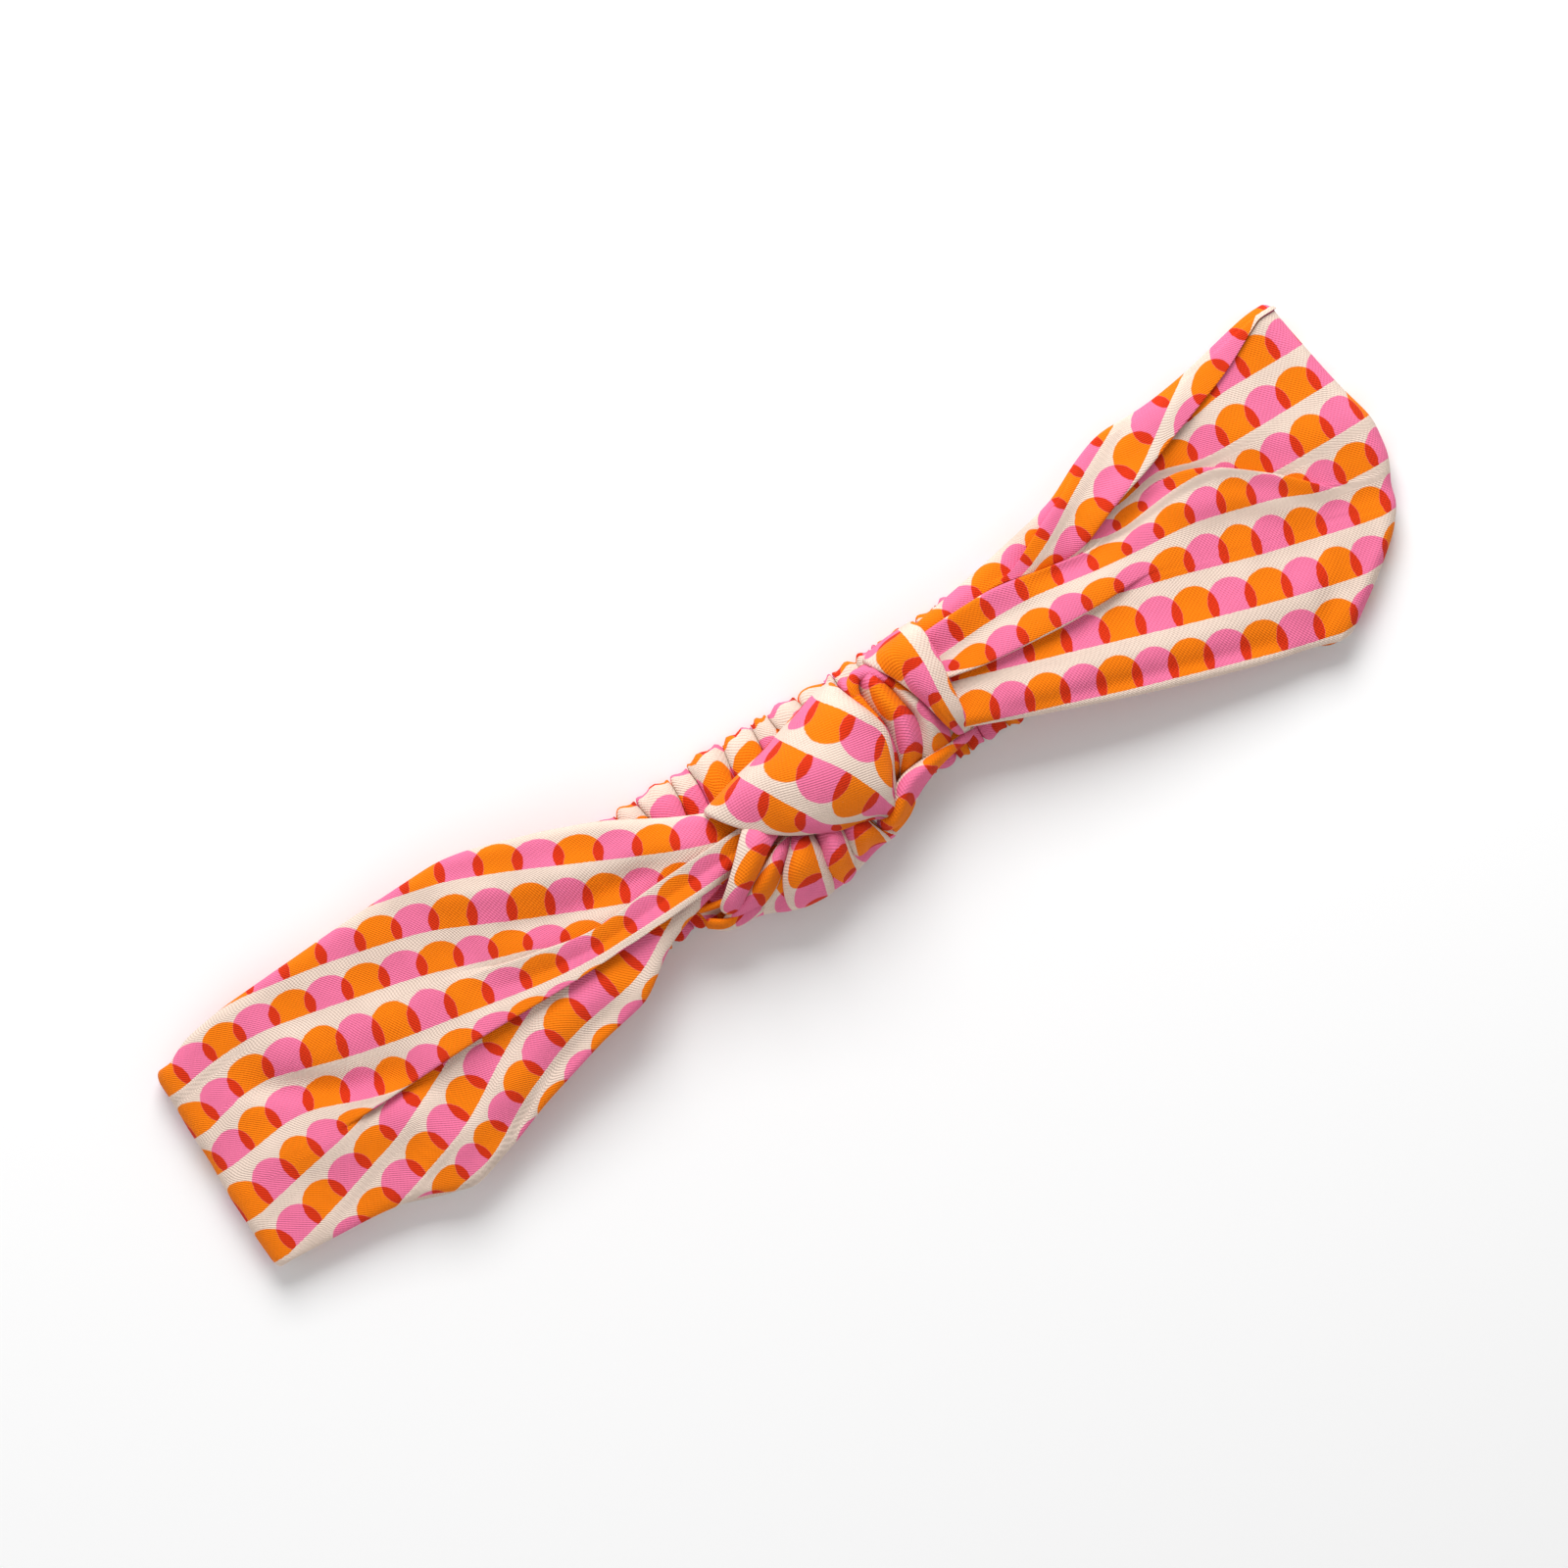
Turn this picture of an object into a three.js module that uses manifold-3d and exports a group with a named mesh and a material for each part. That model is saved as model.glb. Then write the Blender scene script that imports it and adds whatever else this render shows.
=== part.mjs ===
// Knotted cotton sports headband, lying flat on a table with its loop closed up.
//
// The loop is one printed cotton tube. Its wide middle is tied in a knot on the front layer,
// it turns back on itself at the two end folds, and its two ends are sewn into a ruched
// casing that holds the elastic at the back of the head.
//
// Millimetres. +X runs along the band, +Y across it, +Z up from the table.

import * as THREE from 'three';
import { mergeVertices } from 'three/addons/utils/BufferGeometryUtils.js';
import Module from 'manifold-3d';

const wasm = await Module();
wasm.setup();

// ---- driving dimensions -------------------------------------------------------------------

const CLOTH_LAYER = 2.2;        // one flattened run of the tube: two cotton layers and air
const FOLD_RADIUS = 3.5;        // outside radius of the soft end folds
const FOLD_TOP = 2 * FOLD_RADIUS;
const FRONT_LOW = FOLD_TOP - CLOTH_LAYER;

const CASING_START = -55;       // the ruched casing's two ends
const CASING_END = 43.5;
const CASING_LOW_EDGE = -9.4;
const CASING_HIGH_EDGE = 15.6;
const CASING_HEIGHT = 5;
const CASING_WALL = 1.1;
const RUFFLE_PITCH = 5.2;       // spacing of the casing's puckers along it
const RUFFLE_DEPTH = 0.7;

const ELASTIC_WIDTH = 20;
const ELASTIC_THICKNESS = 1.2;
const SEAM_GAP = 2.2;           // where the casing and the band are stitched together

const THREAD = 0.5;
const STITCH = 2.4;             // length of one zigzag stitch
const SEAM_SWING = 0.45;        // how far a zigzag swings to each side
const TACK_SWING = 0.7;
const SEAM_INSET = 1.5;         // stitching stops short of the cloth's edges
const TACK_INSET = 2;
const CLEAR = 0.3;              // gap between neighbouring pieces

const KNOT_LOW = 5.6;           // the knot rests just above the casing
const KNOT_MID = 9.6;           // top of the strand that passes behind the knot
const KNOT_TOP = 25;
const CORE_TOP = 18;            // crowns of the strands inside and around the knot
const LOWER_TOP = 19;
const COLLAR_TOP = 21;
const PLEATS_TOP = 19.5;
const ROLL_TOP = 15;

const RING_STEPS = 6;           // points in each rounded edge of a cloth run
const MOUND_RINGS = 7;
const MOUND_SIDES = 30;
const MOUND_TURN = 0.93 * (Math.PI / 2);   // a wrap stops just short of closing to a point
const MOUND_RISE = 0.8;         // how fast a wrap climbs from its edge
const MOUND_FULLNESS = 0.5;     // how far its sides stand out over its edge
const FOLD_STEPS = 14;

// ---- colours ------------------------------------------------------------------------------

const PRINTED_COTTON = { color: 0xf6a24c, roughness: 0.88, metalness: 0 };
const PINK_COTTON = { color: 0xee7fb0, roughness: 0.88, metalness: 0 };
const CREAM_COTTON = { color: 0xf6e2d0, roughness: 0.9, metalness: 0 };
const WHITE_ELASTIC = { color: 0xf2efe8, roughness: 0.75, metalness: 0 };
const CREAM_THREAD = { color: 0xf3e3d2, roughness: 0.6, metalness: 0 };

// ---- closed bodies from rings of points ---------------------------------------------------

function fanCap(triangles, start, count, flip) {
  for (let i = 1; i < count - 1; i += 1) {
    const corners = [start, start + i, start + i + 1];
    triangles.push(...(flip ? corners.reverse() : corners));
  }
}

function wall(triangles, first, second, count) {
  for (let i = 0; i < count; i += 1) {
    const next = (i + 1) % count;
    triangles.push(first + i, first + next, second + next);
    triangles.push(first + i, second + next, second + i);
  }
}

// Skins a list of equal rings and closes both ends. Faces are turned outwards afterwards.
function skin(rings) {
  const count = rings[0].length;
  const triangles = [];
  fanCap(triangles, 0, count, true);
  for (let k = 0; k + 1 < rings.length; k += 1) {
    wall(triangles, k * count, (k + 1) * count, count);
  }
  fanCap(triangles, (rings.length - 1) * count, count, false);
  const geometry = new THREE.BufferGeometry();
  geometry.setFromPoints(rings.flat());
  geometry.setIndex(triangles);
  return facingOut(geometry);
}

function signedVolume(geometry) {
  const position = geometry.getAttribute('position');
  const index = geometry.getIndex();
  const [a, b, c] = [new THREE.Vector3(), new THREE.Vector3(), new THREE.Vector3()];
  let total = 0;
  for (let i = 0; i < index.count; i += 3) {
    a.fromBufferAttribute(position, index.getX(i));
    b.fromBufferAttribute(position, index.getX(i + 1));
    c.fromBufferAttribute(position, index.getX(i + 2));
    total += a.dot(b.cross(c)) / 6;
  }
  return total;
}

function facingOut(geometry) {
  if (signedVolume(geometry) < 0) {
    geometry.setIndex(Array.from(geometry.getIndex().array).reverse());
  }
  return geometry;
}

// ---- boolean work -------------------------------------------------------------------------

function toSolid(geometry) {
  const bare = geometry.clone();
  bare.deleteAttribute('normal');
  bare.deleteAttribute('uv');
  const merged = mergeVertices(bare, 1e-4);
  return new wasm.Manifold(new wasm.Mesh({
    numProp: 3,
    vertProperties: new Float32Array(merged.getAttribute('position').array),
    triVerts: new Uint32Array(merged.getIndex().array),
  }));
}

function toGeometry(solid) {
  const mesh = solid.getMesh();
  const geometry = new THREE.BufferGeometry();
  geometry.setAttribute('position', new THREE.BufferAttribute(mesh.vertProperties, 3));
  geometry.setIndex(new THREE.BufferAttribute(mesh.triVerts, 1));
  return geometry;
}

function without(geometry, ...cutters) {
  let solid = toSolid(geometry);
  for (const cutter of cutters) {
    solid = solid.subtract(toSolid(cutter));
  }
  return toGeometry(solid);
}

// ---- shapes of cloth ----------------------------------------------------------------------

// One run of flattened tube across the band: flat above and below, round at both edges.
function runRing(x, low, high, bottom, top) {
  const radius = (top - bottom) / 2;
  const ring = [];
  for (const side of [1, -1]) {
    const centre = side > 0 ? high - radius : low + radius;
    for (let i = 0; i <= RING_STEPS; i += 1) {
      const turn = Math.PI * (i / RING_STEPS - 0.5);
      const y = centre + side * radius * Math.cos(turn);
      const z = bottom + radius + side * radius * Math.sin(turn);
      ring.push(new THREE.Vector3(x, y, z));
    }
  }
  return ring;
}

// Stations are [x, low edge, high edge, bottom, top] along the run.
function run(stations) {
  return skin(stations.map((station) => runRing(...station)));
}

// A C-shaped fold that turns the front layer into the back layer along an edge in plan.
function endFold(edge, side) {
  const curve = new THREE.CatmullRomCurve3(edge.map(([x, y]) => new THREE.Vector3(x, y, 0)));
  const rings = [];
  for (let k = 0; k <= FOLD_STEPS; k += 1) {
    const tip = curve.getPoint(k / FOLD_STEPS);
    const along = curve.getTangent(k / FOLD_STEPS);
    const inwards = new THREE.Vector3(-along.y, along.x, 0).multiplyScalar(side);
    rings.push(foldRing(tip, inwards));
  }
  return skinConcave(rings);
}

function foldRing(tip, inwards) {
  const ring = [];
  for (const radius of [FOLD_RADIUS, FOLD_RADIUS - CLOTH_LAYER]) {
    const arc = [];
    for (let i = 0; i <= RING_STEPS; i += 1) {
      const turn = Math.PI * (i / RING_STEPS - 0.5);
      const depth = FOLD_RADIUS - radius * Math.cos(turn);
      const height = FOLD_RADIUS + radius * Math.sin(turn);
      arc.push(tip.clone().addScaledVector(inwards, depth).setZ(height));
    }
    ring.push(...(radius === FOLD_RADIUS ? arc : arc.reverse()));
  }
  return ring;
}

// As skin, but each end is closed by the strip between a ring's outer and inner arc.
function skinConcave(rings) {
  const count = rings[0].length;
  const triangles = [];
  for (let k = 0; k + 1 < rings.length; k += 1) {
    wall(triangles, k * count, (k + 1) * count, count);
  }
  for (let i = 0; i + 1 < count / 2; i += 1) {
    const quad = [i, i + 1, count - 2 - i, count - 1 - i];
    const last = (rings.length - 1) * count;
    triangles.push(quad[0], quad[2], quad[1], quad[0], quad[3], quad[2]);
    triangles.push(last + quad[0], last + quad[1], last + quad[2]);
    triangles.push(last + quad[0], last + quad[2], last + quad[3]);
  }
  const geometry = new THREE.BufferGeometry();
  geometry.setFromPoints(rings.flat());
  geometry.setIndex(triangles);
  return facingOut(geometry);
}

// A soft mound of cloth over a smooth closed outline, used for the wraps of the knot.
function mound(outline, bottom, top, grow = 0) {
  const points = outline.map(([x, y]) => new THREE.Vector3(x, y, 0));
  const curve = new THREE.CatmullRomCurve3(points, true);
  const edge = curve.getPoints(MOUND_SIDES).slice(0, MOUND_SIDES);
  const centre = edge.reduce((sum, p) => sum.add(p), new THREE.Vector3()).divideScalar(edge.length);
  const rings = [];
  for (let k = 0; k <= MOUND_RINGS; k += 1) {
    const rise = MOUND_TURN * (k / MOUND_RINGS);
    const height = bottom - grow + (top - bottom + 2 * grow) * Math.sin(rise) ** MOUND_RISE;
    const scale = Math.cos(rise) ** MOUND_FULLNESS;
    rings.push(edge.map((p) => shrunk(p, centre, scale, grow).setZ(height)));
  }
  return skin(rings);
}

// grow widens an outline by a little more than itself, to hold its gap on slanting edges too.
function shrunk(point, centre, scale, grow) {
  const arm = point.clone().sub(centre);
  const reach = arm.length();
  return centre.clone().addScaledVector(arm, (scale * (reach + 1.3 * grow)) / reach);
}

// A zigzag row of stitches across the band, swinging to and fro along it.
function stitches(from, to, swing) {
  const start = new THREE.Vector3(...from);
  const end = new THREE.Vector3(...to);
  const count = Math.round(start.distanceTo(end) / STITCH) * 2;
  const points = [];
  for (let i = 0; i <= count; i += 1) {
    const point = start.clone().lerp(end, i / count);
    point.x += i % 2 ? swing : -swing;
    points.push(point);
  }
  const section = new THREE.Shape().absarc(0, 0, THREAD / 2, 0, 2 * Math.PI);
  const extrudePath = new THREE.CatmullRomCurve3(points);
  return new THREE.ExtrudeGeometry(section, { extrudePath, steps: count * 3, curveSegments: 3 });
}

// ---- the parts ----------------------------------------------------------------------------

const group = new THREE.Group();

function place(name, geometry, material) {
  const mesh = new THREE.Mesh(geometry, new THREE.MeshStandardMaterial(material));
  mesh.name = name;
  group.add(mesh);
}

// Edges of the front wings: [x, low edge, high edge, bottom, top].
const LEFT_WING = [
  [-114.8, -18.4, 22.4, FRONT_LOW, FOLD_TOP],
  [-108, -19.4, 24.0, FRONT_LOW, 7.4],
  [-97, -21.2, 24.9, FRONT_LOW, 8.2],
  [-84, -25.2, 25.3, 5.2, 9.5],
  [-72, -23.0, 25.5, 6.6, 11],
  [-58, -18.4, 25.2, 9.0, 13],
  [-50, -16.6, 23.4, 10.0, 14.5],
  [-40, -15.0, 20.2, 10.6, 15.5],
  [-30, -9.0, 15.8, 10.6, 16.5],
  [-22, -7.0, 11.5, 10.6, 17],
  [-16, -5.5, 8.6, 10.6, 17],
];
const RIGHT_WING = [
  [34.7, -6.2, 14.0, 10.6, 18],
  [42, -9.5, 15.6, 10.6, 16.5],
  [50, -12.5, 17.3, 10.4, 15],
  [58, -15.6, 19.0, 10.0, 13.5],
  [66, -18.4, 21.0, 8.4, 12],
  [74, -21.3, 24.0, 6.6, 10.6],
  [82, -24.0, 25.2, 5.4, 9.4],
  [90, -26.6, 25.2, 4.9, 8.4],
  [96.2, -28.6, 25.8, FRONT_LOW, 7.9],
  [96.6, -23.4, 25.9, FRONT_LOW, 7.8],
  [104, -18.7, 27.0, FRONT_LOW, 7.4],
  [112.0, -13.2, 28.3, FRONT_LOW, FOLD_TOP],
  [112.8, -12.2, 22.0, FRONT_LOW, FOLD_TOP],
  [114.0, -9.6, 12.5, FRONT_LOW, FOLD_TOP],
  [115.3, -5.5, 4.0, FRONT_LOW, FOLD_TOP],
];

// The back layer narrows from each end fold into the casing.
const LEFT_BACK = [
  [-114.8, -18.4, 20.6, 0, CLOTH_LAYER],
  [-97, -18.6, 22.0, 0, 2.4],
  [-78, -15.5, 20.0, 0, 3.2],
  [CASING_START - SEAM_GAP, CASING_LOW_EDGE, CASING_HIGH_EDGE, 0, 4.6],
];
const RIGHT_BACK = [
  [CASING_END + SEAM_GAP, CASING_LOW_EDGE, 16.4, 0, 4.6],
  [58, -12.5, 19.4, 0, 4.0],
  [68, -15.5, 21.5, 0, 3.4],
  [84, -20.0, 24.4, 0, 2.6],
  [96.6, -23.4, 25.4, 0, CLOTH_LAYER],
  [104, -18.7, 26.0, 0, CLOTH_LAYER],
  [112.0, -13.2, 27.0, 0, CLOTH_LAYER],
  [112.8, -12.2, 22.0, 0, CLOTH_LAYER],
  [114.0, -9.6, 12.5, 0, CLOTH_LAYER],
  [115.3, -5.5, 4.0, 0, CLOTH_LAYER],
];

// Outer edges of the two end folds in plan.
const LEFT_FOLD = [[-119.8, -18.0], [-119.4, 2], [-118.8, 20.4]];
const RIGHT_FOLD = [
  [99.1, -27.0], [106, -22.4], [113.4, -17.4], [117.3, -13], [119.3, -5],
  [119.8, 1], [119, 9], [117.6, 18], [116.1, 28.2],
];

// Outlines of the wraps that make the knot, seen from above.
const FRONT_WRAP = [
  [-14, 6], [-10, 1.5], [-4.6, -3.4], [4, -7], [9, -9.5], [13.6, -10.3], [17, -4],
  [19, 2], [19.5, 8], [20.5, 13], [14, 13.8], [8, 12.6], [0, 9.6], [-7, 7.4],
];
const LOWER_WRAP = [
  [-10, 0], [-16, -3], [-21, -4.5], [-25, -7.2], [-22, -10], [-17, -12], [-11, -14.6],
  [-3, -16.2], [4, -14.6], [7, -12.9], [8, -10.5], [4, -7.5], [-4, -4],
];
const COLLAR = [
  [25.5, 14.3], [33, 15], [34, 8], [33.6, 2], [32, -5.5], [29.4, -5], [29, 0],
  [27.5, 6], [25, 11],
];
const INNER_PLEATS = [
  [20, 13.4], [24, 13.2], [26.5, 8], [28, 2], [28.8, -4.5], [24, -5], [17, -5.6],
  [18, -2], [19.5, 4],
];
const SIDE_ROLL = [
  [9.5, -11], [13, -10.6], [17, -7.2], [21, -6], [28, -6], [32.5, -6.6], [28, -7.8],
  [22, -8.9], [17, -10.7], [13.5, -13.4], [10.5, -14],
];
const INNER_PASS = [[-8, 2], [-2, -3], [8, -5.5], [15, -3], [17, 4], [15, 9], [5, 8.5], [-4, 6]];
const BACK_WRAP = [
  [-20, -5], [-8, -8.5], [8, -9.5], [24, -6.5], [33, -4], [34, 10], [24, 12.5],
  [5, 11.5], [-12, 8.5], [-19, 3],
];

// The knot, each wrap cut back from the ones that lie over it.
function buildKnot() {
  const above = KNOT_MID + CLEAR;
  const core = [INNER_PASS, above, CORE_TOP];
  const front = [FRONT_WRAP, above, KNOT_TOP];
  const lower = [LOWER_WRAP, KNOT_LOW, LOWER_TOP];
  const collar = [COLLAR, above, COLLAR_TOP];
  const pleats = [INNER_PLEATS, above, PLEATS_TOP];
  const roll = [SIDE_ROLL, KNOT_LOW, ROLL_TOP];
  const back = [BACK_WRAP, KNOT_LOW, KNOT_MID];
  const fat = (wrap) => mound(...wrap, CLEAR);
  const cut = (wrap, ...over) => without(mound(...wrap), ...over.map(fat));
  place('knot_front_wrap', cut(front, core), CREAM_COTTON);
  place('knot_lower_wrap', cut(lower, front, core, back), PRINTED_COTTON);
  place('knot_collar', cut(collar, front), CREAM_COTTON);
  place('knot_inner_pleats', cut(pleats, front, collar), PINK_COTTON);
  place('knot_side_roll', cut(roll, front, pleats, collar, back, lower), PRINTED_COTTON);
  place('knot_inner_pass', mound(...core), PINK_COTTON);
  place('knot_back_wrap', mound(...back), PRINTED_COTTON);
  return [front, lower, back].map(fat);
}

function buildWings(knotSpace) {
  place('front_wing_left', without(run(LEFT_WING), ...knotSpace), PINK_COTTON);
  place('front_wing_right', run(RIGHT_WING), PINK_COTTON);
  place('end_fold_left', endFold(LEFT_FOLD, -1), PRINTED_COTTON);
  place('end_fold_right', endFold(RIGHT_FOLD, 1), PRINTED_COTTON);
  place('back_wing_left', run(LEFT_BACK), CREAM_COTTON);
  place('back_wing_right', run(RIGHT_BACK), CREAM_COTTON);
}

// The casing is a tube open at both ends, its edges ruffled where the elastic gathers it.
function buildCasing() {
  const stations = [];
  const count = Math.round((2 * (CASING_END - CASING_START)) / RUFFLE_PITCH);
  for (let i = 0; i <= count; i += 1) {
    const x = CASING_START + ((CASING_END - CASING_START) * i) / count;
    const puff = i % 2 ? RUFFLE_DEPTH : 0;
    stations.push([x, CASING_LOW_EDGE - puff, CASING_HIGH_EDGE + puff, 0, CASING_HEIGHT + puff / 2]);
  }
  const low = CASING_LOW_EDGE + CASING_WALL;
  const high = CASING_HIGH_EDGE - CASING_WALL;
  const ceiling = CASING_HEIGHT - CASING_WALL;
  const bore = [CASING_START - 1, CASING_END + 1].map((x) => [x, low, high, CASING_WALL, ceiling]);
  place('elastic_casing', without(run(stations), run(bore)), PRINTED_COTTON);
}

function buildElastic() {
  const middle = (CASING_LOW_EDGE + CASING_HIGH_EDGE) / 2;
  const bottom = CASING_WALL + CLEAR;
  const top = bottom + ELASTIC_THICKNESS;
  const low = middle - ELASTIC_WIDTH / 2;
  const high = middle + ELASTIC_WIDTH / 2;
  const ends = [CASING_START + CLEAR, CASING_END - CLEAR];
  place('elastic_band', run(ends.map((x) => [x, low, high, bottom, top])), WHITE_ELASTIC);
  const height = top + CLEAR + THREAD / 2;
  const tacks = { elastic_tack_left: ends[0] + TACK_INSET, elastic_tack_right: ends[1] - TACK_INSET };
  for (const [name, x] of Object.entries(tacks)) {
    const from = [x, low + TACK_INSET, height];
    const to = [x, high - TACK_INSET, height];
    place(name, stitches(from, to, TACK_SWING), CREAM_THREAD);
  }
}

function buildSeams() {
  const height = CASING_HEIGHT / 2;
  const seams = {
    join_stitching_left: CASING_START - SEAM_GAP / 2,
    join_stitching_right: CASING_END + SEAM_GAP / 2,
  };
  for (const [name, x] of Object.entries(seams)) {
    const from = [x, CASING_LOW_EDGE + SEAM_INSET, height];
    const to = [x, CASING_HIGH_EDGE - SEAM_INSET, height];
    place(name, stitches(from, to, SEAM_SWING), CREAM_THREAD);
  }
}

buildWings(buildKnot());
buildCasing();
buildElastic();
buildSeams();

// The origin is under the middle of the band's outline, on the table.
const box = new THREE.Box3().setFromObject(group);
const middle = box.getCenter(new THREE.Vector3());
group.position.set(-middle.x, -middle.y, -box.min.z);
group.updateMatrixWorld(true);

export default group;
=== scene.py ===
"""A knotted printed-cotton headband, lying flat with its loop closed up.

The band is one turned tube of cloth. Its wide middle is tied in a knot on the front layer, it
turns back at the two end folds, and its ends are sewn into a ruched casing with an elastic
inside. Shapes are worked out in millimetres in the frame of the CAD model and become metres
when a mesh is made.
"""
import math

import bpy
import numpy as np
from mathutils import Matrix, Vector


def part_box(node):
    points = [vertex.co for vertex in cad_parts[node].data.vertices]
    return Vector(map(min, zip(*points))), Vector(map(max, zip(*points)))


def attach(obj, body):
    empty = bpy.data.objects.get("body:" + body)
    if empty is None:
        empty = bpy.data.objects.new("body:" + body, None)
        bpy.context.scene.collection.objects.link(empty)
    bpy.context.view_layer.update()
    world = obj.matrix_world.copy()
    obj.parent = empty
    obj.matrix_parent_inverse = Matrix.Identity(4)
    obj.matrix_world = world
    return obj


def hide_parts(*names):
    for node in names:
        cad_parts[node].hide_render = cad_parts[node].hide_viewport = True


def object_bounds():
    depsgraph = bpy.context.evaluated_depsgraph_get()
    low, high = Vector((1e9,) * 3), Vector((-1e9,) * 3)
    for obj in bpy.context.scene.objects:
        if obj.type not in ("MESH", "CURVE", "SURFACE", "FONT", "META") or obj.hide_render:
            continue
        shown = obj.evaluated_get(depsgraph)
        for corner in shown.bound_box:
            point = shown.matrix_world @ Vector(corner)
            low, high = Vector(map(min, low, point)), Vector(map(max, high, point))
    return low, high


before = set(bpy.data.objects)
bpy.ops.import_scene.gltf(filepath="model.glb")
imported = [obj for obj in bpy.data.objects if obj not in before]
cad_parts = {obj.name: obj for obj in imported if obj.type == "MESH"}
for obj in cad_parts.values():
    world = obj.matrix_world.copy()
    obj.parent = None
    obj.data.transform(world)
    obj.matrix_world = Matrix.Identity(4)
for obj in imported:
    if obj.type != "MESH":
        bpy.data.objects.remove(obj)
cad_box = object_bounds()

MM = 0.001
# The outline that the shapes below are drawn in has its highest corner here.
DRAWN_RIGHT, DRAWN_BACK = 119.77, 28.3
OFFSET = np.array([cad_box[1].x / MM - DRAWN_RIGHT, cad_box[1].y / MM - DRAWN_BACK, 0.0])

ROW = 8.5            # pitch of the printed rows across the cloth
REPEAT = 13.4        # from one orange half disc to the next along a row
STAGGER = 3.35       # every other row is shifted by this much
DISC_RADIUS = 4.3
DISC_RISE = 1.9      # how far a disc's centre is above its row's base line
PLAIN = 0.27         # share of a row's pitch that is plain ground, above its discs
CLOSEST_ROWS = 2.5   # rows drawn together by a fold stay at least this far apart
SQUARED = 3          # this far above its top row, v is measured square to the row


# ---- curves and smoothing ----

def smooth(values, sigma, axis=0, mode="reflect"):
    """Gaussian smoothing along one axis. Ends keep their slope, or join up with mode wrap."""
    values = np.moveaxis(np.asarray(values, float), axis, 0)
    reach = int(3 * sigma) + 1
    weights = np.exp(-0.5 * (np.arange(-reach, reach + 1) / sigma) ** 2)
    sides = [(reach, reach)] + [(0, 0)] * (values.ndim - 1)
    extra = {"reflect_type": "odd"} if mode == "reflect" else {}
    padded = np.pad(values, sides, mode=mode, **extra)
    total = sum(w * padded[i:i + len(values)] for i, w in enumerate(weights / weights.sum()))
    return np.moveaxis(total, 0, axis)


class Curve:
    """A soft line y(x) through a few points, carried straight on past both ends."""

    STEP = 0.5
    SPARE = 60

    def __init__(self, points, soft=2.5):
        x, y = np.array(points, float).T
        self.x = np.arange(x[0] - self.SPARE, x[-1] + self.SPARE, self.STEP)
        line = np.interp(self.x, x, y)
        line += np.minimum(self.x - x[0], 0) * (y[1] - y[0]) / (x[1] - x[0])
        line += np.maximum(self.x - x[-1], 0) * (y[-1] - y[-2]) / (x[-1] - x[-2])
        self.y = smooth(line, soft / self.STEP)

    def __call__(self, x):
        return np.interp(x, self.x, self.y)


class Level(Curve):
    """As Curve, but it stays level past both ends."""

    def __init__(self, points, soft=2.5):
        first, last = points[0], points[-1]
        super().__init__([(first[0] - 1, first[1]), *points, (last[0] + 1, last[1])], soft)


def spline(points, count):
    """count points on a smooth line through the given points, which are the first axis."""
    p = np.array(points, float)
    p = np.concatenate([[2 * p[0] - p[1]], p, [2 * p[-1] - p[-2]]])
    t = np.linspace(0, len(p) - 3 - 1e-9, count)
    i = t.astype(int)
    f = (t - i).reshape((-1,) + (1,) * (p.ndim - 1))
    a, b, c, d = p[i], p[i + 1], p[i + 2], p[i + 3]
    bend = (2 * a - 5 * b + 4 * c - d) * f ** 2 + (3 * b - a - 3 * c + d) * f ** 3
    return 0.5 * (2 * b + (c - a) * f + bend)


def arc_length(points):
    """Length run along axis 0 up to each point."""
    steps = np.linalg.norm(np.diff(points, axis=0), axis=-1)
    return np.concatenate([np.zeros((1,) + steps.shape[1:]), np.cumsum(steps, axis=0)])


def ease(x):
    x = np.clip(x, 0, 1)
    return x * x * (3 - 2 * x)


def wrinkles(x, y, seed, size, lean=0.5):
    """Slow, uneven waves between about -1 and 1, a few waves crossing at different angles."""
    rng = np.random.default_rng(seed)
    total = np.zeros(np.broadcast(x, y).shape)
    for _ in range(5):
        angle = rng.normal(math.pi / 2, lean)
        pitch = size * rng.uniform(0.7, 1.6)
        phase = rng.uniform(0, 2 * math.pi)
        along = x * math.cos(angle) + y * math.sin(angle)
        total += np.sin(2 * math.pi * along / pitch + phase)
    return total / 3


# ---- where the print lies ----

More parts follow.
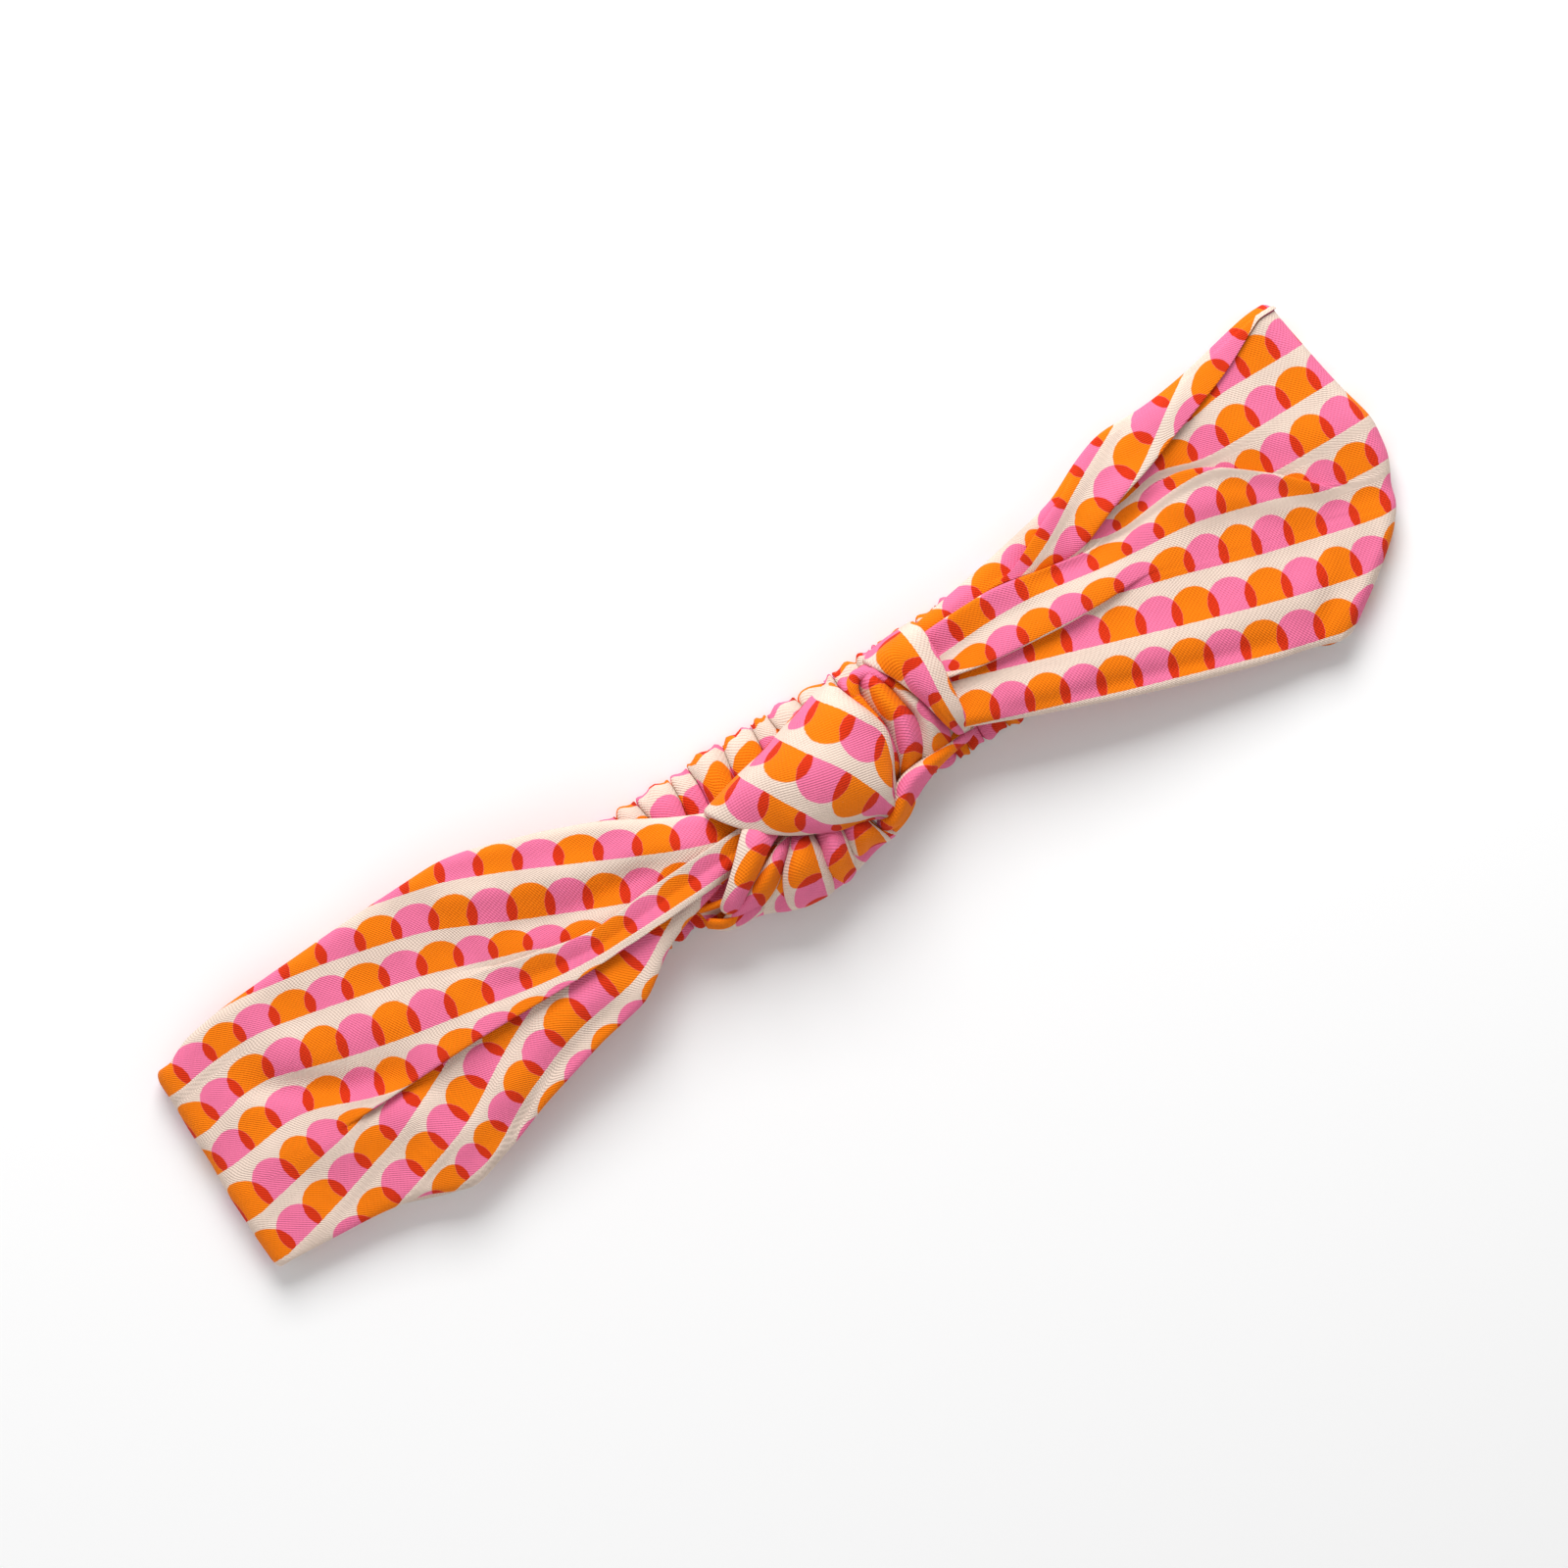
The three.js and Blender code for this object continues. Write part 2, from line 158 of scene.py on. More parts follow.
class Print:
    """Maps a place on the cloth, seen from above, to the print's own (u, v).

    rows go from the top down, the first being row number first. Each is (points of its base
    line, x of its orange half discs). like is the print on the panel next to this one, which
    shares rows with it, so that both count u from the same place.
    """

    def __init__(self, first, rows, like=None):
        self.first = first
        self.lines = [Curve(points) for points, _ in rows]
        self.along = []
        for k, (_, discs) in enumerate(rows):
            shift = STAGGER * ((-first - k) % 2)
            x = np.array(discs, float)
            row = Curve(list(zip(x, REPEAT * np.arange(len(x)) - shift)), soft=4)
            before = self.along[-1] if self.along else like and like.along[first - like.first]
            if before:
                seen = np.linspace(x[0], x[-1], 9)
                row.y += REPEAT * round(float(np.mean(before(seen) - row(seen))) / REPEAT)
            self.along.append(row)

    def __call__(self, x, y):
        base = [self.lines[0](x)]
        for line in self.lines[1:]:
            base.append(np.minimum(line(x), base[-1] - CLOSEST_ROWS))
        slope = self.slope(0, x) * np.clip((y - base[0]) / SQUARED, 0, 1)
        u = self.over_row(0, x, y - base[0])
        v = -ROW * self.first + (y - base[0]) * np.sqrt(1 + slope ** 2)
        for k in range(len(base) - 1):
            below = y <= base[k]
            t = (base[k] - y) / (base[k] - base[k + 1])
            blend = ease(t / PLAIN)
            over = self.over_row(k + 1, x, y - base[k + 1])
            u = np.where(below, self.along[k](x) * (1 - blend) + over * blend, u)
            v = np.where(below, -ROW * (self.first + k + t), v)
        return np.stack([u, v], axis=-1)

    def slope(self, k, x):
        return self.lines[k](x + 0.5) - self.lines[k](x - 0.5)

    def over_row(self, k, x, height):
        """u at a height over row k, whose discs stand square on its base line."""
        slope = self.slope(k, x)
        return self.along[k](x + slope / (1 + slope ** 2) * np.clip(height, 0, ROW))


# ---- meshes from rings ----

def mesh_from_rings(name, bodies, material):
    """One object from closed bodies. A body is (rings n x m x 3, uv n x m x 2, looped or not)."""
    points, faces, uvs = [], [], []
    start = 0
    for rings, uv, looped in bodies:
        n, m = rings.shape[:2]
        index = start + np.arange(n * m).reshape(n, m)
        faces += body_faces(index, looped, volume(rings) < 0)
        points.append((rings.reshape(-1, 3) + OFFSET) * MM)
        uvs.append(uv.reshape(-1, 2) * MM)
        start += n * m
    mesh = bpy.data.meshes.new(name)
    mesh.from_pydata(np.concatenate(points).tolist(), [], faces)
    corner = np.zeros(len(mesh.loops), int)
    mesh.loops.foreach_get("vertex_index", corner)
    layer = mesh.uv_layers.new(name="print")
    layer.data.foreach_set("uv", np.concatenate(uvs)[corner].astype(np.float32).ravel())
    mesh.polygons.foreach_set("use_smooth", np.ones(len(mesh.polygons), bool))
    mesh.materials.append(material)
    piece = bpy.data.objects.new(name, mesh)
    bpy.context.collection.objects.link(piece)
    return piece


def body_faces(index, looped, inside_out):
    """Quads between a body's rings of points, and a cap on each end unless it is looped."""
    rings = np.concatenate([index, index[:1]]) if looped else index
    after = np.roll(rings, -1, axis=1)
    quads = np.stack([rings[:-1], after[:-1], after[1:], rings[1:]], axis=-1)
    faces = quads.reshape(-1, 4).tolist()
    if not looped:
        faces += [index[0][::-1].tolist(), index[-1].tolist()]
    return [face[::-1] for face in faces] if inside_out else faces


def volume(rings):
    """Signed volume of a body, up to its end caps: its sign says which way the rings turn."""
    centre = rings.mean(axis=(0, 1))
    a = rings[:-1] - centre
    b = np.roll(a, -1, axis=1)
    c = rings[1:] - centre
    return float(np.einsum("ijk,ijk->", a, np.cross(b, c)))


def pinched(rings):
    """Closes a body's two ends by flattening one more ring at each onto its middle height."""
    def flat(ring, beyond):
        middle = ring.mean(axis=0)
        squeezed = middle + (ring - middle) * [1, 0.97, 0.04]
        return squeezed + (middle - beyond.mean(axis=0)) * 0.5
    return np.concatenate([[flat(rings[0], rings[1])], rings, [flat(rings[-1], rings[-2])]])


def repeat_ends(values):
    return np.concatenate([values[:1], values, values[-1:]])


def normals(grid):
    """Unit normals of a grid of points."""
    along = np.gradient(grid, axis=0)
    across = np.gradient(grid, axis=1)
    n = np.cross(along, across)
    return n / np.maximum(np.linalg.norm(n, axis=-1, keepdims=True), 1e-9)


def rounded(distance, radius):
    """0 at an edge and 1 from radius inwards, along a quarter circle."""
    return np.sqrt(np.clip(1 - (1 - np.clip(distance / radius, 0, 1)) ** 2, 0, 1))


def shell(grid, uv, thick):
    """A closed body around a sheet of cloth, its two long edges rounded like a folded edge."""
    up = normals(grid)
    if up[..., 2].mean() < 0:
        up = -up
    width = arc_length(grid.transpose(1, 0, 2)).T
    edge = rounded(np.minimum(width, width[:, -1:] - width), RIM)[..., None]
    ends = np.sin(np.linspace(0, math.pi, len(grid)))[:, None, None]
    half = thick / 2 * edge * np.clip(ends * 6, 0.15, 1)
    top, bottom = grid + up * half, grid - up * half
    rings = np.concatenate([top, bottom[:, -2:0:-1]], axis=1)
    return rings, np.concatenate([uv, uv[:, -2:0:-1]], axis=1), False


# ---- knot strands ----

RIM = 1.0            # a strand's edges are rounded over this width
WAVE = 9.0           # usual pitch of a strand's ruffles


def strand(guides, v, anchor, thick=1.7, n=90, m=70, ruffle=0.0, seed=1):
    """A strand of cloth laid over guide lines that run along the printed rows.

    guides all have the same number of points. v is where each guide lies across the print, and
    anchor is how far along each guide, as a share of it, the nearest row's orange half disc is.
    """
    lines = np.stack([spline(g, n) for g in guides], axis=1)
    grid = spline(lines.transpose(1, 0, 2), m).transpose(1, 0, 2)
    run = arc_length(grid)
    across = spline(np.array(v, float)[:, None], m)[:, 0]
    place = spline(np.array(anchor, float)[:, None], m)[:, 0]
    column = np.arange(m)
    zero = run[np.clip((place * (n - 1)).astype(int), 0, n - 1), column]
    shift = np.array([-STAGGER * (round(line / ROW) % 2) for line in v])
    zero = smooth(zero, 3) - spline(shift[:, None], m)[:, 0]
    u = run - zero
    uv = np.stack([u, np.broadcast_to(across, u.shape)], axis=-1)
    if ruffle:
        lift = wrinkles(across, u, seed, WAVE, lean=1.2)
        grid = grid + normals(grid) * (lift * ruffle)[..., None]
    return shell(grid, uv, thick)


def roll(path, width, height, u0=0.0, n=90, m=36, turn=0.0):
    """A soft rounded roll of cloth along a path, width and height given at the path's points."""
    line = spline(path, n)
    size = spline(np.stack([width, height], axis=1), n)
    along = np.gradient(line, axis=0)
    along /= np.linalg.norm(along, axis=1, keepdims=True)
    side = np.cross(along, [0.0, 0.0, 1.0])
    side /= np.linalg.norm(side, axis=1, keepdims=True)
    up = np.cross(side, along)
    angle = np.linspace(0, 2 * math.pi, m, endpoint=False)
    ends = np.sin(np.linspace(0, math.pi, n)) ** 0.35
    ends = np.clip(ends, 0.12, 1)[:, None, None]
    wide = side[:, None] * (size[:, 0, None] * np.cos(angle))[..., None]
    tall = up[:, None] * (size[:, 1, None] * np.sin(angle))[..., None]
    rings = line[:, None] + (wide + tall) * ends
    run = arc_length(line)[:, None] + u0
    around = (angle - math.pi / 2 + turn) * size.mean(axis=1)[:, None]
    uv = np.stack([np.broadcast_to(run, around.shape), around], axis=-1)
    return rings, uv, False


# ---- wings: a flattened tube with folds across it ----

GAP = 0.5            # kept between two panels where their fold hasn't formed


class Fold:
    """A fold line y(x) where one panel of cloth lies over the next.

    over is +1 where the panel above the line lies on top, -1 where the panel below it does.
    shown is how far the fold has formed at each x, from 0 to 1.
    """

    def __init__(self, points, shown, over, tuck, lift):
        self.line = Curve(points, soft=2)
        self.shown = Level(shown, soft=2)
        self.over = over
        self.tuck = tuck
        self.lift = lift

    def ends(self, x):
        """(end of the panel below, start of the panel above) as (y, height) pairs."""
        y, w = self.line(x), self.shown(x)
        tucked = GAP - w * (self.tuck + GAP)
        lip = GAP * (1 - w)
        if self.over > 0:
            return (y - tucked, 0 * w), (y + lip, self.lift * w)
        return (y - lip, self.lift * w), (y + tucked, 0 * w)


PANEL_SAMPLES = 46
FOLD_SAMPLES = 9
UNDER_SAMPLES = 56
SETTLE = 4.5         # how far from a fold's lip the cloth comes back down
TUCKED = 0.3         # height in a fold, as a share of its lip's
CROWDING = 1.25      # samples crowd together towards the tube's edges
EDGE_RADIUS = 2.4    # of the flattened tube's two edges
RELIEF_RADIUS = 4.0  # the front's relief fades out over this at the edges


def bridges(panels):
    """What lies in the folds between panels: straight runs from each panel to the next."""
    f = np.linspace(0, 1, FOLD_SAMPLES + 2)[1:-1].reshape((1, -1) + (1,) * (panels[0].ndim - 2))
    return [a[:, -1:] * (1 - f) + b[:, :1] * f for a, b in zip(panels, panels[1:])]


def joined(panels, between):
    """Panels side by side, with what lies in the folds between them."""
    parts = panels[:1]
    for tucked, panel in zip(between, panels[1:]):
        parts += [tucked, panel]
    return np.concatenate(parts, axis=1)


class Wing:
    """The tube of cloth in front on one side of the band, flattened, with folds across it."""

    def __init__(self, low, high, bottom, top, folds, prints, relief):
        self.low, self.high = Curve(low, soft=1.5), Curve(high, soft=1.5)
        self.bottom, self.top = Level(bottom, soft=4), Level(top, soft=4)
        self.folds, self.prints, self.relief = folds, prints, relief

    def panels(self, x):
        """Start and end of each panel from the low edge up, as ((y, h), (y, h))."""
        start, found = (self.low(x), 0 * x), []
        for fold in self.folds:
            end, following = fold.ends(x)
            found.append((start, end))
            start = following
        found.append((start, (self.high(x), 0 * x)))
        return found

    def cloth(self, x):
        """y, and height above the plain tube, of the front's samples at stations x."""
        across, heights, tucks = [], [], []
        for k, ends in enumerate(self.panels(x)):
            (first, first_h), (last, last_h) = np.array(ends)[..., None]
            q = np.linspace(0, 1, PANEL_SAMPLES)
            if k == 0:
                q = q ** CROWDING
            if k == len(self.folds):
                q = 1 - (1 - q) ** CROWDING
            y = first * (1 - q) + last * q
            if k:
                before = heights[-1][:, -1:]
                low, high = np.minimum(before, first_h), np.maximum(before, first_h)
                tucks.append(np.repeat(low + TUCKED * (high - low), FOLD_SAMPLES, axis=1))
            across.append(y)
            heights.append(np.maximum(np.exp(-((y - first) / SETTLE) ** 2) * first_h,
                                      np.exp(-((y - last) / SETTLE) ** 2) * last_h))
        return joined(across, bridges(across)), joined(heights, tucks)

    def printed(self, x, y):
        """uv of the front's samples at x and y."""
        starts = (PANEL_SAMPLES + FOLD_SAMPLES) * np.arange(len(self.prints))
        panels = [place(x[:, k:k + PANEL_SAMPLES], y[:, k:k + PANEL_SAMPLES])
                  for place, k in zip(self.prints, starts)]
        return joined(panels, bridges(panels))

    def rings(self, x):
        """Rings round the tube at stations x: y, z, uv, and how many samples are in front."""
        y, h = self.cloth(x)
        uv = self.printed(np.broadcast_to(x[:, None], y.shape), y)
        low, high = self.low(x)[:, None], self.high(x)[:, None]
        bottom, top = self.bottom(x)[:, None], self.top(x)[:, None]
        middle = (bottom + top) / 2
        edge = np.minimum(y - low, high - y)
        z = middle + (top - middle) * rounded(edge, EDGE_RADIUS)
        z = z + (h + self.relief(x[:, None], y)) * rounded(edge, RELIEF_RADIUS)
        q = np.linspace(1, 0, UNDER_SAMPLES + 2)[1:-1]
        q = 0.5 - 0.5 * np.cos(math.pi * q)
        under_y = low + (high - low) * q
        edge = np.minimum(under_y - low, high - under_y)
        under_z = middle - (middle - bottom) * rounded(edge, EDGE_RADIUS)
        from_top = uv[:, -1:, 1] + (high - under_y)
        from_low = uv[:, :1, 1] - (under_y - low)
        under_v = np.where(q > 0.5, from_top, from_low)
        under_u = uv[:, -1:, 0] * q + uv[:, :1, 0] * (1 - q)
        under_uv = np.stack([under_u, under_v], axis=-1)
        return (np.concatenate([y, under_y], axis=1), np.concatenate([z, under_z], axis=1),
                np.concatenate([uv, under_uv], axis=1), y.shape[1])


FOLD_HEIGHT = 3.5    # the end folds turn about this height
TURN_STEPS = 18
STATION = 0.62       # between rings of the front layer
BACK_STATION = 0.8   # between rings of the back layer
GATHERS = 7.5        # waves across the back layer where it is gathered into the seam
GATHER_HEIGHT = 0.5
FADE = 8             # a ridge dies out over this much of its length at each end
WRINKLE_HEIGHT = 0.22
WRINKLE_PITCH = 14.0
LOWEST = 0.03        # above the surface the band lies on


def wing_body(wing, neck, tip, tip_edge, stretch_from, back, side):
    """Rings of a whole wing: from the knot along the front, round the end fold, and back.

    side is -1 for the left wing and +1 for the right one. tip_edge gives the fold's outer edge
    x(y), which the rings beyond stretch_from lean into. back is (far x, low edge, high edge,
    top height), the last three as curves.
    """
    front, uv, outer = front_rings(wing, neck, tip, tip_edge, stretch_from, side)
    bend = end_fold(front[-1], side)
    rear = back_rings(front[-1], bend[-1, :, 2], outer, tip, back)
    run = arc_length(np.concatenate([front[-1:], bend, rear]))[1:]
    past = uv[-1][None] + np.stack([side * run, 0 * run], axis=-1)
    rings = pinched(smooth(np.concatenate([front, bend, rear]), 0.8))
    rings[..., 2] = np.maximum(rings[..., 2], LOWEST)
    return rings, repeat_ends(np.concatenate([uv, past])), False


def front_rings(wing, neck, tip, tip_edge, stretch_from, side):
    """The front layer's rings, the last of which lies along the end fold's outer edge."""
    x = np.linspace(neck, tip, int(abs(tip - neck) / STATION))
    y, z, uv, outer = wing.rings(x)
    y = smooth(smooth(y, 1.6, axis=1, mode="wrap"), 1.2)
    z = smooth(smooth(z, 1.5, axis=1, mode="wrap"), 1.6)
    pivot = tip_edge(y) - side * FOLD_HEIGHT
    reach = np.clip((x[:, None] - stretch_from) / (tip - stretch_from), 0, 1)
    leaning = np.where(reach > 0, stretch_from + reach * (pivot - stretch_from), x[:, None])
    moved = np.abs(leaning - x[:, None]).max(axis=1) > 1e-6
    uv[moved, :outer] = wing.printed(leaning[moved, :outer], y[moved, :outer])
    return np.stack([leaning, y, z], axis=-1), uv, outer


def end_fold(last, side):
    """Half a turn of the last front ring, down to the surface the band lies on."""
    x, y, z = last.T
    angle = np.linspace(0, math.pi, TURN_STEPS + 1)[1:, None]
    return np.stack([x + side * (z - FOLD_HEIGHT) * np.sin(angle), y + 0 * angle,
                     FOLD_HEIGHT + (z - FOLD_HEIGHT) * np.cos(angle)], axis=-1)


def back_rings(last, lower, outer, tip, back):
    """From the end fold to the seam: the tube narrows, and gathers up in its last half."""
    far, low, high, top = back
    x, y = last[:, 0], last[:, 1]
    share = (y - y.min()) / (y.max() - y.min())
    t = np.linspace(0, 1, int(abs(tip - far) / BACK_STATION))[1:, None]
    xs = x * (1 - t) + far * t
    narrow = low(xs) + share * (high(xs) - low(xs))
    narrowing = ease(t * 5)
    ys = y * (1 - narrowing) + narrow * narrowing
    waves = np.sin(share * 2 * math.pi * GATHERS + t * 3)
    gather = ease((t - 0.45) / 0.55) * GATHER_HEIGHT * waves
    is_outer = (np.arange(len(y)) < outer)[None]
    lift = np.where(is_outer, np.abs(gather) * 1.2, (top(xs) - lower.max()) + gather)
    body = rounded(np.minimum(share, 1 - share) * 40, EDGE_RADIUS)
    return np.stack([xs, ys, np.maximum(lower + lift * body, LOWEST)], axis=-1)


def ridge(points, height, width):
    """A soft ridge, or a valley if height is negative, along a line seen from above."""
    line, (first, last) = Curve(points), (points[0][0], points[-1][0])

    def shape(x, y):
        here = ease((x - first) / FADE + 0.5) * ease((last - x) / FADE + 0.5)
        return height * here * np.exp(-((y - line(x)) / width) ** 2)
    return shape


def relief(shapes, seed):
    """Height of a wing's soft ridges and its slight wrinkles, as a function of x and y."""
    def height(x, y):
        slight = WRINKLE_HEIGHT * wrinkles(x, y, seed, WRINKLE_PITCH)
        return sum(shape(x, y) for shape in shapes) + slight
    return height


# ---- the left wing ----

# The printed rows on each wing from above, each as (points of its base line, x of its orange
# half discs). On the left they are numbered from the top down.
LEFT_ROWS = {
    -1: ([(-118, 33), (-101, 33), (-72, 25.2), (-58, 21.5), (-46, 16), (-34, 10),
          (-21.5, 3.9), (-15.5, 1.7)], [-88, -75, -62, -49.8, -36.9, -24.8]),
    0: ([(-118, 24.6), (-101, 24.3), (-84.5, 21.2), (-71.5, 17.8), (-65, 15.8),
         (-52.5, 9.5), (-40.5, 4), (-34, 1.2), (-15, -7)],
        [-114.5, -101, -87.5, -73.5, -61.5, -49, -37]),
    1: ([(-118.5, 16), (-110, 17.4), (-100, 17.3), (-90, 15), (-71, 10.2),
         (-58.5, 5.6), (-52, 3.6), (-40, -3), (-15, -16)],
        [-118, -106.3, -93.5, -80.2, -67, -55.5]),
    2: ([(-118.5, 7.3), (-110, 9.4), (-105, 9.8), (-100, 8.7), (-90, 5.3), (-80, 2.8),
         (-62.5, -0.7), (-55, -2.3), (-48, -3.3), (-42, -3.8), (-15, -3.7)],
        [-117, -106, -92.8, -80, -66.5, -52.8, -38.8, -25.4, -12.6]),
    3: ([(-119, 0.1), (-110, 0.9), (-105, 1.6), (-100, 1.3), (-94, -1.5),
         (-88.5, -3.5), (-82, -4.9), (-56, -10.5), (-15, -12.5)],
        [-109, -97, -85, -72, -58]),
    4: ([(-119, -9.7), (-108.5, -7.8), (-97, -6), (-92, -6.2), (-80, -12),
         (-15, -21)], [-117.5, -105, -94]),
    5: ([(-119, -18.3), (-108.5, -16.2), (-95.5, -12.7), (-88.5, -10.8), (-76, -5.2),
         (-50, 7)], [-118.5, -106, -93.5, -80]),
    6: ([(-119, -28.8), (-111, -27), (-105, -24.2), (-96, -21), (-82, -17.2), (-76, -14.8),
         (-66.5, -9), (-60.5, -6.2), (-30, 6)],
        [-98.5, -86.5, -74.5, -63.5, -52.3, -38.8]),
    7: ([(-119, -35), (-96, -28.5), (-88, -24.6), (-77.5, -23.2), (-68.5, -18),
         (-56.5, -13.4), (-50, -12), (-43.5, -11.4), (-38, -10.4), (-32, -6.6),
         (-15, 1)],
        [-86, -75.3, -65.5, -53.5, -41]),
    8: ([(-119, -43.5), (-88, -32), (-77.5, -31), (-62, -23.5), (-50, -20.5),
         (-40, -18), (-15, -9)], [-62, -48.5, -37]),
}


def left_prints():
    """The rows on each panel of the left wing. A hidden row goes on inside a fold."""
    row = LEFT_ROWS
    lifted = ([*row[-1][0][:4], (-46, 22), (-8, 21.5)], row[-1][1])
    hidden_0 = ([*row[0][0][:5], (-56, 13.6), (-48, 13.2), (-8, 13)], row[0][1])
    hidden_1 = ([*row[1][0][:6], (-52, 4), (-46, 2.9), (-30, 2.4), (-8, 2.6)],
                [*row[1][1][:5], -55, -42, -28.8, -16])
    squeezed_3 = ([*row[3][0][:6], (-82, -5.2), (-62, -6.2), (-45, -8.2), (-15, -8.2)],
                  [*row[3][1], -45.5, -32, -19])
    hidden_2 = ([*row[2][0][:7], (-56, -4), (-40, -12), (-15, -25)], row[2][1])
    hidden_3 = ([*row[3][0][:4], (-94, 0.5), (-88, 4), (-60, 20)], row[3][1])
    hidden_4 = ([*row[4][0][:3], (-93, -5), (-88, -3), (-76, 3), (-50, 16)], row[4][1])
    above = Print(-1, [row[-1], row[0], row[1], hidden_2, row[3], row[4]])
    between = Print(-1, [lifted, hidden_0, hidden_1, row[2], squeezed_3, row[4]], like=above)
    below = Print(3, [hidden_3, hidden_4, row[5], row[6], row[7], row[8]], like=between)
    return [below, between, above]


def left_relief():
    return relief([
        ridge([(-106, 9), (-97, 4), (-92, 0), (-80, -4)], -1.7, 3.2),
        ridge([(-112, -2), (-100, -6), (-84, -9)], 1.2, 4.5),
        ridge([(-100, 12), (-84, 7), (-64, 2)], 1.1, 5),
        ridge([(-86, -19), (-76, -17), (-60, -11), (-42, -8)], 1.2, 3.0),
        ridge([(-74, -22), (-62, -17), (-44, -13)], -0.9, 2.0),
        ridge([(-62, 20), (-48, 14), (-34, 9), (-18, 4)], 1.2, 3.2),
        ridge([(-56, 9), (-44, 5), (-26, 4)], -0.9, 2.0),
    ], seed=3)


def left_wing():
    folds = [
        Fold([(-100, -5), (-92, -5.3), (-78, -5), (-68, -4.9), (-50, -5.5), (-30, -5.3),
              (-8, -4.6)], [(-97, 0), (-90, 0.9), (-80, 1)], +1, 2.6, 2.2),
        Fold([(-118, 9), (-75, 8), (-60, 5.5), (-56, 4), (-50, 2.7), (-45, 1.2), (-40, 0.6),
              (-30, 1.5), (-8, 1.9)], [(-64, 0), (-55, 0.8), (-48, 1)], -1, 2.6, 2.2),
    ]
    return Wing(
        low=[(-119.5, -18.9), (-110, -19.9), (-100, -20.8), (-91, -22.4), (-87, -24.6),
             (-83, -26.3), (-80, -25.3), (-72, -23), (-65, -20.5), (-50, -16.6), (-40, -15),
             (-34, -10.5), (-31, -8.7), (-26, -7), (-20, -5.6), (-8, -2)],
        high=[(-119.5, 19.2), (-118, 20.4), (-112, 23.4), (-103, 24.5), (-78, 25.3), (-58, 25.4),
              (-52.5, 24.3), (-46, 22), (-40, 20), (-30, 15.8), (-20, 9.8), (-14, 6.8),
              (-8, 5)],
        bottom=[(-112, 4.8), (-97, 4.8), (-84, 5.2), (-72, 6.6), (-58, 9), (-40, 10.6)],
        top=[(-112, 7), (-97, 7.8), (-84, 8.7), (-72, 10), (-58, 12.2), (-40, 14), (-18, 15.2),
             (-8, 12.6)],
        folds=folds, prints=left_prints(), relief=left_relief())


def build_left_band(cotton):
    wing = left_wing()
    edge = Curve([(-25, -120.6), (-18, -120.5), (2, -120.2), (20.4, -119.7), (25, -119.6)])
    back = (-54.0, Curve([(-115, -18.4), (-97, -21), (-90, -24), (-83, -26.2), (-76, -22),
                          (-57.2, -9.4)]),
            Curve([(-115, 19.6), (-97, 22), (-78, 20), (-57.2, 15.9)]),
            Level([(-115, 2.2), (-97, 2.4), (-78, 3.0), (-60, 4.2)]))
    body = wing_body(wing, -7.0, -116.2, edge, -112.0, back, -1)
    return mesh_from_rings("band_left", [body], cotton)


# ---- the right wing ----

# On the right the rows are lettered from the bottom up.
RIGHT_ROWS = {
    "a": ([(36, -6.7), (48.3, -11.2), (60.5, -15.7), (73.3, -20.1), (86, -24.4), (97, -27.5)],
         [34, 45.6, 57.8, 70, 82.5, 95.5]),
    "b": ([(41, 0.3), (53.5, -4), (66, -8.4), (78.5, -12.8), (91.3, -17), (104, -20.7),
          (112, -22)], [50.5, 63.3, 75.5, 88.3, 100.7]),
    "c": ([(34.5, 4.5), (41, 1.5), (47.5, 1.2), (60, 0), (66, -0.3), (72, -1.5), (79, -3.8),
          (90.5, -7.8), (103.2, -11.4), (108.5, -13), (117, -14.8)],
         [38.5, 51.5, 63.8, 76.5, 88.3, 99.5, 111.2]),
    "d": ([(34.5, 7.6), (39.4, 7.8), (46.2, 8.0), (53, 7.6), (59.4, 6.4), (66.2, 5.1),
          (72.5, 4.3), (84.7, 3.1), (89.7, 1.5), (94.7, 0), (100.9, -1.9), (105, -4.6),
          (109.3, -5.4), (118, -6.2)],
         [42.5, 55.7, 68.7, 81.6, 92.4, 102.5, 113.4]),
    "e": ([(34, 16), (53, 16), (59.4, 14.6), (63, 12.8), (67, 10.2), (72.5, 8.6), (79.5, 9.5),
          (84.6, 9.9), (88.8, 9.7), (91.5, 9.6), (95, 8.2), (100, 4.6), (106, 2), (119, 2)],
         [39.2, 52.4, 64.5, 75.6, 87.8, 97.3, 109.7]),
    "f": ([(34, 9), (43, 10.2), (49.4, 10.8), (55.7, 11.6), (61.9, 14.3), (66, 15), (71, 13),
          (75.6, 12.4), (81.6, 14), (84.5, 14.4), (90.5, 11.5), (95, 11.1), (103, 10.8),
          (117, 10.5)],
         [36.7, 49.3, 58.7, 67.9, 77, 87.4, 99.7, 112.4]),
    "g": ([(34, 16.4), (49, 18), (56, 19.5), (66, 26), (84, 22), (91, 17.6), (100, 19.4),
          (105, 19.1), (117, 18.7)], [32.5, 45.1, 54, 63, 73, 84, 97, 109.4]),
}


